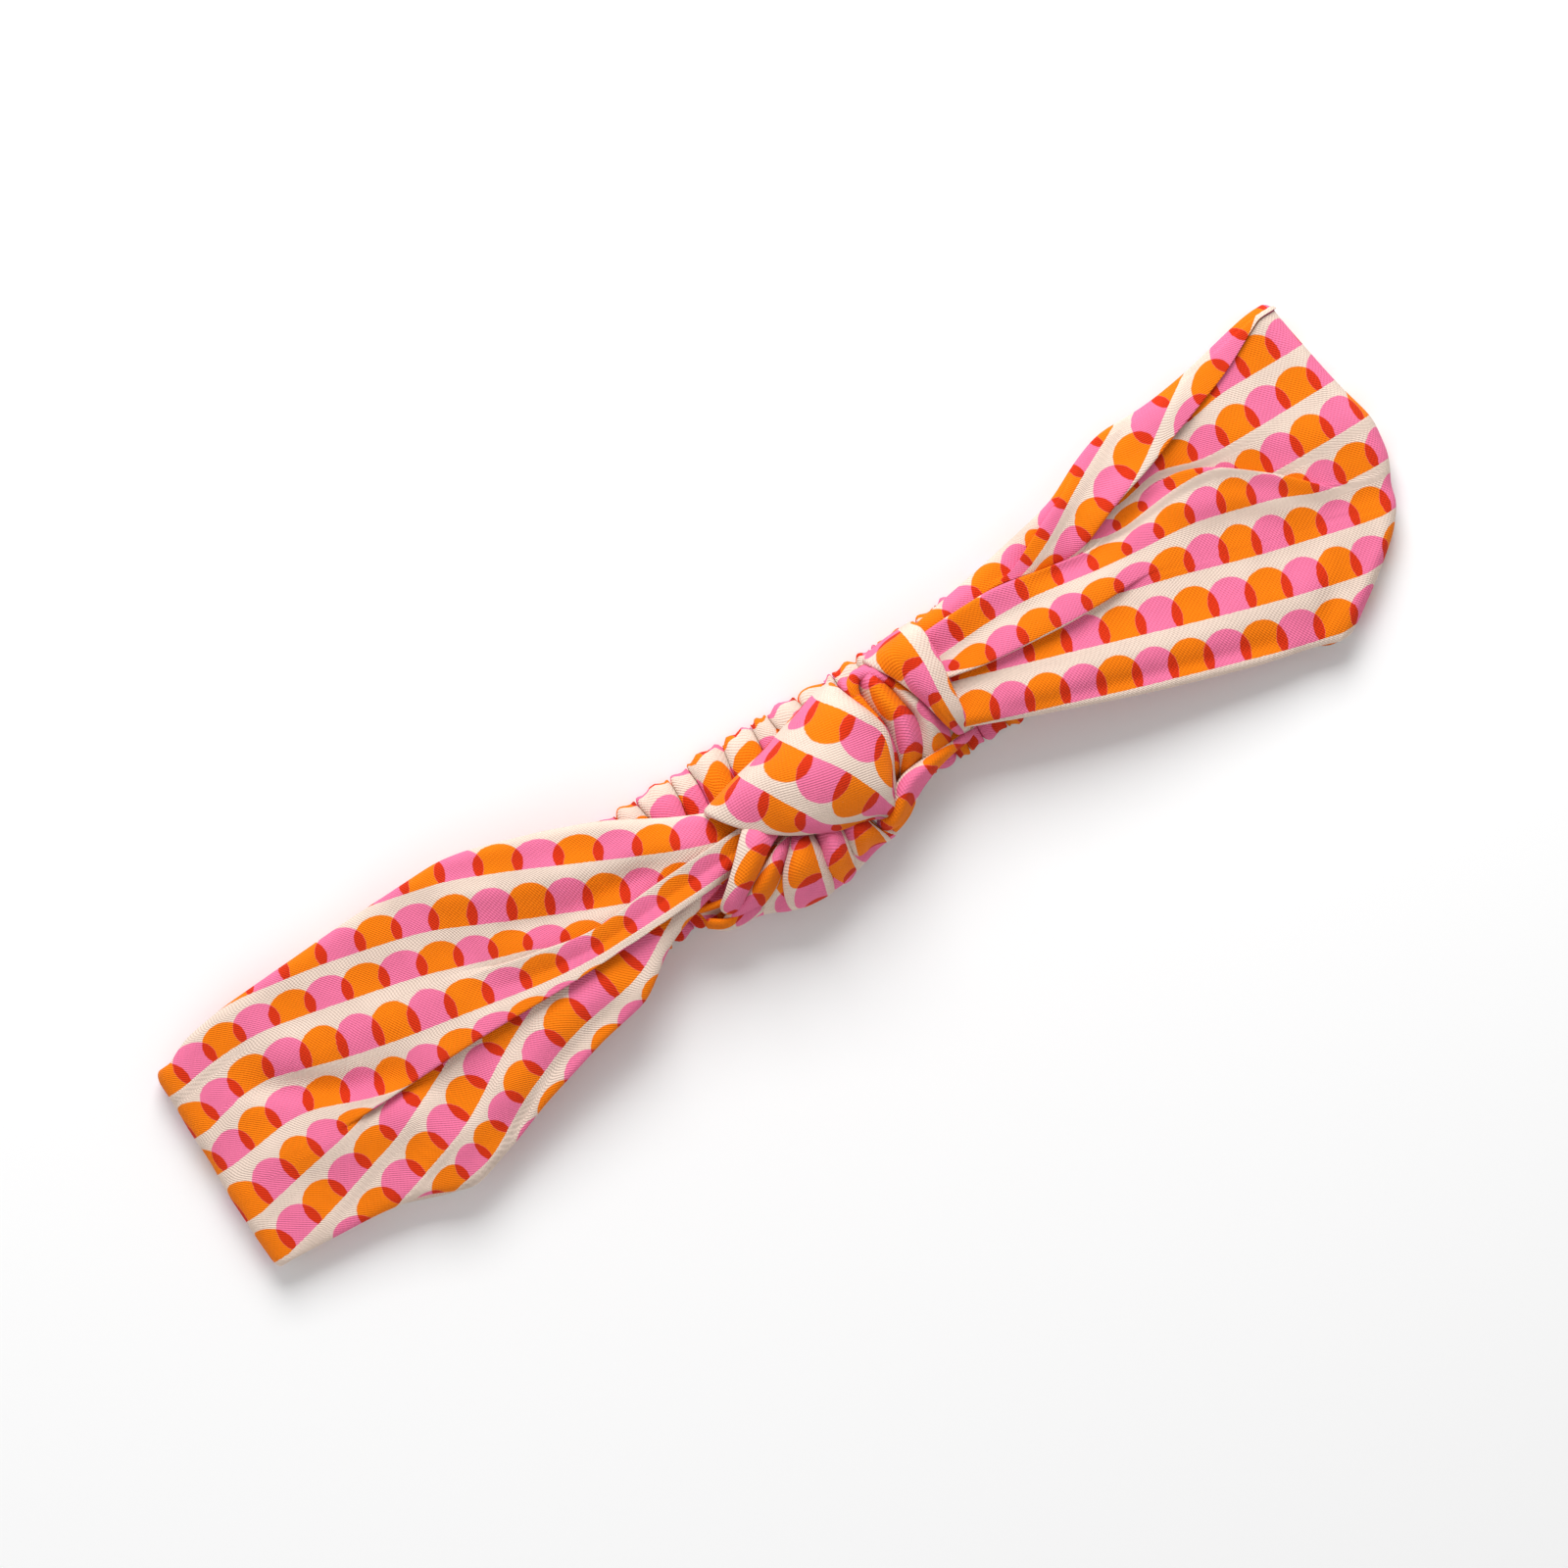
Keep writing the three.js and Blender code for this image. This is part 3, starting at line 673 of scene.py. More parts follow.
def right_prints():
    """The rows on each panel of the right wing.

    A row goes by another name where it runs on over a fold, under one, on the flap that a fold
    turns up, or at the back of that flap.
    """
    a, b, c, d, e, f, g = (RIGHT_ROWS[letter] for letter in "abcdefg")
    e_right = ([*e[0][:7], (84, 9.6), (90, 5), (95, 3.4), (100.5, 2.7), (112.2, 2.2), (119, 2)],
               e[1])
    d_right = (d[0], [*d[1][:5], 100.5, 113.4])
    end = Print(1, [g, f, e_right, d_right, c, b, a])
    f_over = ([(34, 24), (58, 22), (64, 17.5), (70, 14), (76, 12.5), (81.6, 14), (86, 16.6),
               (90, 17), (95, 14), (100, 11.1), f[0][-1]],
              [42.5, 55.7, 67.9, 77, 87.4, 99.7, 112.4])
    b_over = ([(34, -4), (54, -8), (66, -8.6), *b[0][3:]], b[1])
    middle = Print(2, [f_over, e, d, c, b_over, a], like=end)
    c_under = ([(41, 8.8), (54, 4.5), (66, 0), (72, -1.7), *c[0][6:]], c[1])
    d_under = ([(41, 17), (54, 13), (66, 8.6), (73, 5), *d[0][7:]], d[1])
    below = Print(4, [d_under, c_under, b, a], like=middle)
    f_strip = [(55.7, 11.6), (58.9, 13.1), (61.9, 14.3), (67.3, 17.5), (72.8, 20.5),
               (81.6, 24.6), (92, 30), (110, 42)]
    f_flap = ([*f[0][:3], *f_strip], [36.7, 49.3, 58.7, 69.9, 81.2, 92.5])
    e_flap = ([(34, 3), (50, 6), (56, 8), (61, 9.3), (67.5, 9.7), (74.4, 12.5), (80.4, 15.1),
               (86.3, 18.8), (91.3, 22.3), (96.3, 25.2), (110, 33)],
              [33, 45.5, 58, 70.5, 83.2, 94.8])
    d_flap = ([*d[0][:5], (66, 3), (74, 5), (86, 11), (91, 13.5), (97, 18.3), (103.4, 21.6),
               (109.5, 24.4), (112.6, 26.6), (115, 29.6), (118, 31)],
              [43.5, 56, 66, 76, 88.5, 101.4, 112.6])
    c_flap = ([*c[0][:4], (66, -5), (86, 2), (104, 13.5), (115, 18)], c[1])
    flap = Print(2, [f_flap, e_flap, d_flap, c_flap], like=end)
    f_back = ([(34, 9), (43, 10.2), (49.4, 10.8), (55, 10.8), (60, 10.8), (63, 12.6),
               (67.3, 17.5), *f_strip[4:]], [36.7, 49.3, 61, *f_flap[1][3:]])
    g_back = ([(34, 17.4), (49, 19), (55, 19.2), (62, 20), (67.3, 25.1), (72.8, 28.1),
               (81.6, 32.2), (92, 37.6), (110, 50)], [32.5, 45.1, 56, 64.2, 75.4, 86.7])
    behind = Print(1, [g_back, f_back, e_flap, d_flap], like=end)
    return [below, middle, end, flap, behind]


def right_relief():
    return relief([
        ridge([(40, -4), (60, -9), (84, -16), (100, -19)], 1.1, 4.0),
        ridge([(38, -7), (60, -14), (88, -23.5)], -0.8, 1.6),
        ridge([(42, 5), (56, 4), (70, 3)], 0.9, 3.5),
        ridge([(56, 9.5), (64, 7.5), (74, 9.5), (86, 12)], -1.7, 2.2),
        ridge([(84, 6), (92, 3), (99, -4)], 1.0, 3),
        ridge([(96, 12), (106, 6), (116, 0)], 0.9, 5),
        ridge([(104, -8), (112, -10), (118, -11)], -0.8, 3),
        ridge([(72, 19), (84, 21), (96, 23)], 0.6, 2.5),
    ], seed=8)


def right_wing():
    folds = [
        Fold([(30, 4), (34, 3.3), (40, 1.7), (47, 0.8), (57, -0.3), (66, -0.5), (73, -0.4),
              (85, -4), (118, -14)], [(60, 1), (68, 0.6), (75, 0)], +1, 2.4, 2.1),
        Fold([(30, 12.5), (37, 12.9), (47.5, 12.9), (51, 12.4), (54, 11.6), (59.4, 10.5),
              (66.6, 9), (72, 10.2), (78, 12), (84.3, 13), (88.4, 12), (91.8, 10), (95.9, 6.2),
              (100.1, 2.1), (103, -1.2), (105.5, -4.6), (110, -7), (118, -9)],
             [(64, 1), (69, 0), (81, 0), (86, 0.9), (94, 1), (101, 0.9), (107, 0)],
             -1, 2.2, 1.9),
        Fold([(30, 11.9), (37, 12.3), (47.5, 12.3), (51, 11.8), (54, 10.8), (59.4, 9.4),
              (66.6, 9.2), (71.2, 11.4), (76.2, 13.2), (82.5, 14.6), (88.5, 16.8), (95.5, 19),
              (103.8, 21.7), (109.7, 24.6), (115, 26.9)],
             [(66, 0), (71, 0.8), (77, 1), (90, 0.7), (98, 0.45), (110, 0.4), (115, 0.3)],
             +1, 2.4, 2.3),
        Fold([(30, 13.1), (37, 13.5), (47.5, 13.5), (50.5, 13), (52.5, 13), (54.1, 13.7),
              (56.4, 14.9), (59.8, 16.5), (62.5, 17.9), (66.2, 19.2), (71.6, 21.9),
              (77.1, 23.9), (80, 24.2), (90, 24.2), (97, 25), (104, 26.4), (115, 27.9)],
             [(50.5, 0), (53, 0.8), (64, 0.9), (68, 0.5), (72, 0)], -1, 1.6, 1.7),
    ]
    return Wing(
        low=[(28, -4), (32, -5.4), (34, -6.3), (42, -9.8), (50, -13), (60, -17), (70, -20.6),
             (80, -24), (84, -25.2), (113.5, -28.4), (118, -28.8)],
        high=[(28, 13.2), (32, 14.1), (34, 14.6), (42, 15.7), (50, 16.9), (59.8, 18.6),
              (63.9, 19.4), (66.2, 20), (71.6, 22.7), (77.1, 24.7), (80, 25.2), (84.4, 24.8),
              (90, 24.9), (97, 25.7), (104, 27), (112, 28.5), (118, 28.5)],
        bottom=[(34, 10.6), (50, 10.4), (58, 10), (66, 8.4), (74, 6.6), (82, 5.4), (90, 4.9),
                (96, 4.8)],
        top=[(34, 15.4), (42, 14.6), (50, 13.6), (58, 12.4), (66, 10.9), (74, 9.4), (82, 8.4),
             (90, 7.7), (100, 7.2), (110, 7)],
        folds=folds, prints=right_prints(), relief=right_relief())


def build_right_band(cotton):
    wing = right_wing()
    edge = Curve([(-28.6, 97.8), (-27, 99.6), (-22.4, 106.4), (-17.4, 113.6), (-13, 117.4),
                  (-5, 119.8), (1, 120.2), (9, 119.3), (18, 118), (28.4, 116.5)], soft=1.2)
    back = (42.6, Curve([(45.7, -9.7), (58, -12.5), (68, -15.5), (84, -20), (96.6, -23.5),
                         (112, -24)]),
            Curve([(45.7, 15.9), (58, 17), (68, 19), (84, 22.5), (96.6, 24), (112, 26.5)]),
            Level([(50, 4.2), (58, 3.8), (68, 3.3), (84, 2.6), (97, 2.2)]))
    body = wing_body(wing, 29.5, 113.5, edge, 84.0, back, +1)
    return mesh_from_rings("band_right", [body], cotton)


# ---- the knot ----

# Guide lines (x, y, z) of the knot's strands, side by side across each strand. Their ends are
# tucked under the strands next to them.
FRONT_WRAP = [
    [(-14.4, 6.4, 10.5), (-14, 6, 15.5), (-10.3, 1.3, 17.3), (-4.6, -3.4, 17.8),
     (2.5, -7, 16.6), (8.6, -9.2, 14.5), (12, -11, 11)],
    [(-5.8, 8.8, 10), (-5.2, 7.5, 18.5), (-2.7, 3.7, 21.8), (0.3, -1.8, 22), (3.4, -6, 19),
     (10, -8.6, 15.2), (12.6, -10.8, 11)],
    [(3.2, 10.8, 10), (3.8, 9.4, 19.5), (6.6, 5, 23.8), (9.9, 0, 24), (12.4, -5.5, 20.5),
     (13.2, -8.6, 15.8), (13.4, -10.5, 11)],
    [(12.6, 13.6, 10), (12.8, 11.6, 19.5), (15.7, 7.2, 22.6), (18.1, 2.2, 20),
     (17, -2.2, 18.2), (14.8, -6.6, 15.4), (14.2, -10.2, 11)],
    [(17, 13.8, 10), (16.6, 12.6, 15.5), (17.6, 8.5, 18), (18.9, 3.5, 17.2),
     (18.2, -1.2, 16.2), (15.6, -6.8, 13.8), (14.8, -10, 11)],
]


def build_front_wrap(cotton):
    body = strand(FRONT_WRAP, v=[25, 17, 8.5, 0, -3], anchor=[0.417, 0.417, 0.25, 0.25, 0.25],
                  thick=2.0, n=110, m=110, ruffle=0.12, seed=5)
    return mesh_from_rings("knot_front_wrap_cloth", [body], cotton)


FIRST_PLEAT = [
    [(-7.5, 3, 14), (-10.6, 0.8, 17.6), (-14.5, -2.8, 18), (-18, -5.8, 16.5),
     (-20.6, -7.8, 13.5), (-20.8, -8.8, 10)],
    [(-5.5, 0.5, 15), (-9, -1.6, 19), (-13, -5, 19), (-17, -7.5, 17), (-19.6, -9.2, 13.5),
     (-19.6, -9.8, 10)],
    [(-3.5, -2.6, 14), (-7.5, -3.9, 17), (-11.5, -6.2, 16.6), (-15.5, -8.4, 15),
     (-18.2, -10.2, 12), (-18.2, -10.4, 9)],
]
SECOND_PLEAT = [
    [(-3, -3, 13), (-6.5, -4.4, 16), (-10.5, -6.2, 15.6), (-15, -8.4, 14),
     (-19.5, -9.6, 12.6), (-21.5, -10, 11)],
    [(-3.5, -4.6, 13), (-7, -6, 16.4), (-11.5, -8.6, 16), (-15.5, -10, 14),
     (-19.3, -10.9, 11.8), (-21.3, -11.2, 9.6)],
    [(-4.5, -5.9, 11.5), (-8, -8.2, 13.6), (-11.8, -10.9, 12.6), (-15.6, -12.2, 10),
     (-18.8, -12.5, 8.2), (-21, -12, 7.4)],
]
THIRD_PLEAT = [
    [(-3.5, -4.2, 13), (-5.5, -6.6, 15), (-8.4, -9.2, 14.4), (-10.3, -12.2, 12),
     (-11.2, -14.6, 8.8), (-10.8, -14.2, 6.8)],
    [(-2.5, -4.4, 14), (-4, -6.8, 17.5), (-6, -9.8, 17.6), (-7.4, -13, 14.8), (-8, -15.6, 10),
     (-7.6, -15.1, 6.8)],
    [(-1.3, -4.6, 13.5), (-1.9, -7.2, 16.6), (-2.6, -10, 16.4), (-3.5, -13.2, 13.8),
     (-4.2, -16, 9.5), (-4, -15.5, 6.8)],
    [(-0.6, -4.6, 12.5), (-0.8, -7.4, 14.6), (-1, -10.5, 14), (-1.6, -13.5, 11.6),
     (-2.2, -15.8, 8.5), (-2.2, -15.3, 6.6)],
]
FOURTH_PLEAT = [
    [(0, -4.8, 12), (-0.6, -8, 13.6), (-1.8, -11, 13), (-2, -13.6, 10.8), (-1.2, -15.8, 8),
     (-1.2, -15.3, 6.6)],
    [(2, -5, 14), (1.8, -8.4, 17), (1, -11.6, 16.4), (0.6, -14, 13.2), (0.6, -15.9, 9),
     (0.6, -15.3, 6.6)],
    [(4.2, -5.8, 12.5), (4, -9, 13.8), (3.4, -11.6, 12.6), (3, -13.6, 10.4),
     (3, -14.8, 8), (2.8, -14.3, 6.6)],
]
FIFTH_PLEAT = [
    [(4.6, -6, 12), (4, -8.8, 13.2), (3.6, -11.4, 12.2), (3.4, -13.2, 10), (3.6, -14.2, 8),
     (3.6, -13.8, 6.6)],
    [(6.4, -6.6, 13.5), (6.4, -9.2, 15.6), (6.6, -11.4, 14.8), (6.8, -12.8, 11.8),
     (7, -13.2, 8.6), (7, -12.8, 6.6)],
    [(8.6, -7.6, 12.5), (8.8, -9.9, 13.4), (9.6, -11.8, 12.2), (10.3, -13.6, 9.8),
     (10.6, -14.2, 8), (10.4, -13.8, 6.6)],
]
POCKET = [
    [(-24.6, -6.3, 12.2), (-21, -7.2, 13), (-15, -8.5, 13)],
    [(-24.4, -7.4, 8.2), (-21, -8.6, 8.4), (-15, -9.5, 9)],
    [(-24.3, -9, 7.2), (-20.5, -11.4, 6.9), (-14.5, -11.8, 7)],
    [(-24.8, -9.4, 10.4), (-20.9, -12.1, 10.6), (-14.5, -12.3, 10.8)],
    [(-24, -8.6, 12.4), (-20.4, -10.7, 12.6), (-14.5, -10.8, 12.6)],
]
BEHIND_PLEATS = [
    [(-15, -7.6, 9.6), (-17.6, -10.2, 9.4), (-19.2, -11.6, 8), (-18, -11.2, 7)],
    [(-10.4, -7.2, 11.6), (-12.4, -10.4, 12.2), (-14.2, -13.3, 9), (-13, -12.8, 7)],
    [(-6, -6, 13), (-8, -10.6, 13.4), (-9.4, -15, 9.4), (-8.6, -14.4, 7)],
    [(0, -6, 13), (-0.8, -11, 13), (-1.2, -15.9, 9.2), (-1, -15.3, 6.8)],
    [(4, -7, 12.5), (4, -11, 12), (4.2, -14.6, 8.6), (4.2, -14, 6.8)],
    [(9, -8, 11.5), (10.2, -11.5, 10.8), (12, -13.6, 8.6), (12, -13, 6.8)],
]


def build_lower_wrap(cotton):
    """Five overlapping pleats that fan out from under the front wrap, and a small pocket."""
    bodies = [
        strand(BEHIND_PLEATS, [21, 16, 10, 2, -3, -9], [0.3] * 6, thick=1.2, m=110, ruffle=0.25,
               seed=4),
        strand(FIRST_PLEAT, [8, 4, 0], [0.4] * 3, thick=1.5, m=60),
        strand(SECOND_PLEAT, [7.5, 3.5, -1], [0.4] * 3, thick=1.3, m=60),
        strand(THIRD_PLEAT, [8.6, 4, 0, -2.6], [0.4] * 4, thick=1.3, m=70),
        strand(FOURTH_PLEAT, [6, 2.5, -1.5], [0.56] * 3, thick=1.3, m=60),
        strand(FIFTH_PLEAT, [7, 3, -1], [0.5] * 3, thick=1.3, m=60),
        strand(POCKET, [10, 5, 1, -2, -5.5], [0.4] * 5, thick=1.2, n=40, m=60),
    ]
    return mesh_from_rings("knot_lower_wrap_cloth", bodies, cotton)


INNER_PLEATS = [
    [(17.4, 13, 10.5), (17.3, 12, 14.5), (18.2, 7, 15.4), (18.7, 2, 15), (17, -3.2, 13.4),
     (15, -6.3, 10.5)],
    [(18.3, 13.2, 10.8), (18.2, 12.2, 17.6), (18.7, 7.5, 18.6), (19.3, 2.6, 17.6),
     (18, -3, 15.4), (15.8, -6.5, 10.8)],
    [(19.6, 13, 10.5), (19.4, 11.4, 15), (19.6, 6.8, 15.8), (20.1, 2, 15.2),
     (19, -3.2, 13.6), (16.8, -6.8, 10.5)],
    [(22.4, 13.2, 10.8), (22.2, 12, 18.2), (22.4, 7, 19.6), (22.8, 1.5, 18.8),
     (21, -3.3, 16.2), (18, -7, 10.8)],
    [(24.4, 12.5, 10.5), (24.2, 10.6, 15.6), (24.6, 5.6, 16), (25.2, 0.8, 15.4),
     (23.6, -3.4, 13.8), (20.5, -7, 10.5)],
    [(25, 11.8, 10.8), (25.1, 9.6, 16.4), (26.2, 4.6, 18), (27, 0.4, 17.4),
     (26, -3.6, 15), (23.5, -7, 10.8)],
    [(25.8, 11.2, 10.5), (26, 8.8, 14), (27.8, 3.5, 14.8), (28.8, -0.5, 14.2),
     (29, -3.8, 12.8), (28, -6.6, 10.5)],
]


def build_inner_pleats(cotton):
    body = strand(INNER_PLEATS, v=[14.5, 11.6, 8.5, 3.6, 0, -2.8, -6], anchor=[0.42] * 7, thick=1.4,
                  n=80, m=130)
    curl = roll([(18.6, 0, 14), (18.5, 4, 16.6), (18.3, 8, 17.8), (18.8, 11, 18.2),
                 (20.4, 12.5, 18.2), (22.6, 11.8, 18.4), (24.4, 9.4, 18), (25.8, 6, 16.6),
                 (27, 2.5, 14)],
                [0.7, 0.8, 0.9, 1.1, 1.1, 1.0, 0.9, 0.8, 0.5],
                [0.8, 1.0, 1.2, 1.3, 1.3, 1.2, 1.1, 1.0, 0.6], u0=-10.5, turn=2.6)
    return mesh_from_rings("knot_inner_pleats_cloth", [body, curl], cotton)


COLLAR = [
    [(22.8, 14, 10.5), (23.3, 12.6, 17.2), (25.9, 8.6, 19), (28, 3, 18.3), (29.2, -2, 16),
     (30, -5.6, 10.5)],
    [(27.5, 14.6, 10.5), (27.6, 13.2, 19.4), (28.5, 8, 21), (29.2, 3, 20.3),
     (29.8, -2, 17.4), (30.5, -5.8, 10.5)],
    [(31, 14.8, 10.5), (31, 13.4, 19.6), (30.9, 8, 21), (30.4, 3, 20.3), (30.4, -2, 17.4),
     (31, -5.9, 10.5)],
    [(34.2, 15, 10.5), (34.3, 13.5, 17), (34, 8, 18), (33.4, 3, 17.6), (32.8, -2, 15.6),
     (32.6, -5.8, 10.5)],
]


def build_collar(cotton):
    body = strand(COLLAR, v=[6.6, 3.4, 0, -3.4], anchor=[0.266] * 4, thick=1.8, n=90, m=70,
                  ruffle=0.1, seed=9)
    return mesh_from_rings("knot_collar_cloth", [body], cotton)


SIDE_ROLL = [
    [(33, -5.6, 9), (27, -6, 12), (20.5, -5.8, 13.8), (16.8, -6.6, 14.2), (14.2, -8.9, 13.4),
     (12.6, -10.7, 12), (10.4, -10, 11.5)],
    [(33, -6.4, 9), (27, -6.8, 12.4), (20.5, -7.4, 14.6), (17, -8.6, 15), (14.6, -10.6, 14.2),
     (12.2, -11.8, 13), (9.8, -10.7, 12)],
    [(33, -6.8, 8), (27, -7.4, 10), (21, -9, 10.5), (17.2, -10.8, 10.6), (14.6, -12.2, 9.8),
     (11.8, -12.7, 9.6), (9.4, -11.4, 10)],
]


def build_side_roll(cotton):
    turned = strand(SIDE_ROLL, [8, 3.5, -0.5], [0.72] * 3, thick=1.5, m=60)
    lower = roll([(31, -6.8, 8), (24, -7.6, 9.2), (18.5, -9.2, 9.6), (14.5, -11.6, 9.2),
                  (11, -12.9, 8.2), (8.5, -12.4, 7)],
                 [0.8, 1.2, 1.4, 1.5, 1.3, 1.0], [0.8, 1.2, 1.5, 1.5, 1.4, 1.0], u0=9, turn=2.2)
    return mesh_from_rings("knot_side_roll_cloth", [turned, lower], cotton)


def build_inner_pass(cotton):
    body = roll([(-9, 1.5, 12), (-2, 1.5, 13), (7, 1.5, 14), (16, 3.5, 13), (25, 4, 12)],
                [1.5, 4.5, 6, 7, 6], [1.5, 3, 3.6, 2.6, 2])
    return mesh_from_rings("knot_inner_pass_cloth", [body], cotton)


def build_back_wrap(cotton):
    body = roll([(-20, -1, 7.7), (-10, 0, 7.7), (7, 1, 7.7), (22, 3, 7.7), (33, 3.5, 7.7)],
                [3.5, 7, 9.5, 8.8, 6], [1.3, 1.9, 1.95, 1.9, 1.5], m=60)
    return mesh_from_rings("knot_back_wrap_cloth", [body], cotton)


# ---- the ruched casing and what is in it ----

CASING_ENDS = (-55.0, 43.5)
CASING_EDGES = (-9.4, 15.6)
CASING_TOP = 4.4
CASING_WALL = 1.0
CASING_ROW = 6.4     # y of a printed row's base line on top
CASING_PRINT = 76.9  # cloth from the left seam to an orange half disc
GATHER = 1.6         # cloth in the casing for each length of it
DEEP_CREASES = {-17: 4.3, -6.2: 2.7}    # more cloth is tucked into these
ARCH_SAMPLES = 14
ROOM = 1.9           # the puckers rise from this far inside the casing's edges
PUCKER_RISE = (1.3, 0.16)    # of any pucker, and more for each millimetre of its width
FRILL = 0.3          # height of the fine ruffles along the two edges
FRILL_PITCH = 2.9
WANDER = 0.5         # how far the gathered rows of print stray from a straight line
WANDER_PITCH = 7.3
INSIDE = (2.0, 0.95)         # middle and half height of the space for the elastic
# The creases that show past the knot are listed, and the hidden ones are random.
SEEN_CREASES = (-31.5, -27.5, -22.6, -17, -13.8, -6.2, -0.3, 5.2, 11, 14, 16.8, 20.6, 24.4, 27,
                31.4, 34.6, 38)


def casing_creases():
    """x of the creases between the casing's puckers, unevenly spaced."""
    rng = np.random.default_rng(12)
    creases = [CASING_ENDS[0]]
    while creases[-1] < SEEN_CREASES[0] - 6:
        creases.append(creases[-1] + rng.uniform(3.4, 6))
    return np.array([*creases, *SEEN_CREASES, CASING_ENDS[1]])


def squared_oval(count, flatness, tallness):
    """Cosine and sine round an oval, squared off by powers below 1."""
    angle = np.linspace(0, 2 * math.pi, count, endpoint=False)
    return [np.sign(wave) * np.abs(wave) ** power
            for wave, power in ((np.cos(angle), flatness), (np.sin(angle), tallness))]


def puckers(creases, flat):
    """x, rise and print u of the casing's rings: an arch of cloth between every two creases."""
    rng = np.random.default_rng(21)
    lean, bow = rng.normal(0, 0.7, (2, len(creases)))
    lean[[0, -1]] = bow[[0, -1]] = 0
    base, growth = PUCKER_RISE
    lines = [crease + lean[k] * flat + bow[k] * np.sin(3 * flat + k)
             for k, crease in enumerate(creases)]
    t = np.linspace(0, 1, ARCH_SAMPLES, endpoint=False)[:, None]
    level = np.ones(len(flat))
    x, rise, u, run = [], [], [], 0.0
    for k, width in enumerate(np.diff(creases)):
        bulge = t - np.sin(2 * math.pi * t) / (2 * math.pi)
        x.append(lines[k] + (lines[k + 1] - lines[k]) * bulge)
        rise.append(np.sin(math.pi * t) ** 0.5 * (base + growth * width) * level)
        u.append((run + GATHER * width * t) * level)
        run += GATHER * width + DEEP_CREASES.get(creases[k + 1], 0)
    x.append([CASING_ENDS[1] * level])
    rise.append([0 * level])
    u.append([run * level])
    return [np.concatenate(part) for part in (x, rise, u)]


def casing_print(u, flat, tall, middle, half):
    """uv round the casing, with the base line of a printed row at CASING_ROW on top."""
    y = middle + flat * half
    path = np.stack([y, (CASING_TOP + 0.6) / 2 * (1 + tall)], axis=-1)
    around = arc_length(np.concatenate([path, path[:1]]))
    top = len(flat) // 4
    v = y[top] - (around[:-1] - around[top])
    v = np.where(np.arange(len(flat)) > 3 * top, v + around[-1], v) - CASING_ROW
    wander = WANDER * np.sin(u * 2 * math.pi / WANDER_PITCH + 2 * np.sin(u / 6)) - 0.3
    return np.stack([u - CASING_PRINT, v + wander], axis=-1)


def build_casing(cotton):
    """The ruched tube: its outside, and its inside turned back through it."""
    flat, tall = squared_oval(150, 0.75, 0.9)
    middle, half = sum(CASING_EDGES) / 2, (CASING_EDGES[1] - CASING_EDGES[0]) / 2
    x, rise, u = puckers(casing_creases(), flat)
    frill = FRILL * np.sin(u * 2 * math.pi / FRILL_PITCH + 2 * np.sin(u / 5)) * np.abs(flat) ** 6
    y = middle + flat * (half - ROOM + rise + frill)
    z = (CASING_TOP - 0.9) / 2 * (1 + tall) + np.clip(tall, 0, 1) * rise * 1.15
    z = np.maximum(z + frill * (1 - np.abs(tall)), 0.05)
    inner_y = middle + flat * (half - ROOM - CASING_WALL) + 0 * x
    inner_z = INSIDE[0] + INSIDE[1] * tall + 0 * x
    outer, inner = (np.stack(part, axis=-1) for part in ((x, y, z), (x, inner_y, inner_z)))
    uv = casing_print(u, flat, tall, middle, half)
    rings, uv = np.concatenate([outer, inner[::-1]]), np.concatenate([uv, uv[::-1]])
    return mesh_from_rings("ruched_casing", [(rings, uv, True)], cotton)


def build_elastic(material):
    low, high = (np.array(corner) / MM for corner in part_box("elastic_band"))
    flat, tall = squared_oval(40, 0.35, 0.7)
    middle, half = (low + high) / 2, (high - low) / 2
    x = np.linspace(low[0], high[0], 120)[:, None] + 0 * flat
    y = middle[1] + half[1] * flat * (1 - 0.012 * np.sin(x * 2.1) ** 2)
    z = middle[2] + half[2] * tall * 0.96 + 0 * x
    rings, uv = np.stack([x, y, z], axis=-1) - OFFSET, np.stack([x, y], axis=-1)
    return mesh_from_rings("woven_elastic", [(rings, uv, False)], material)


# ---- materials ----

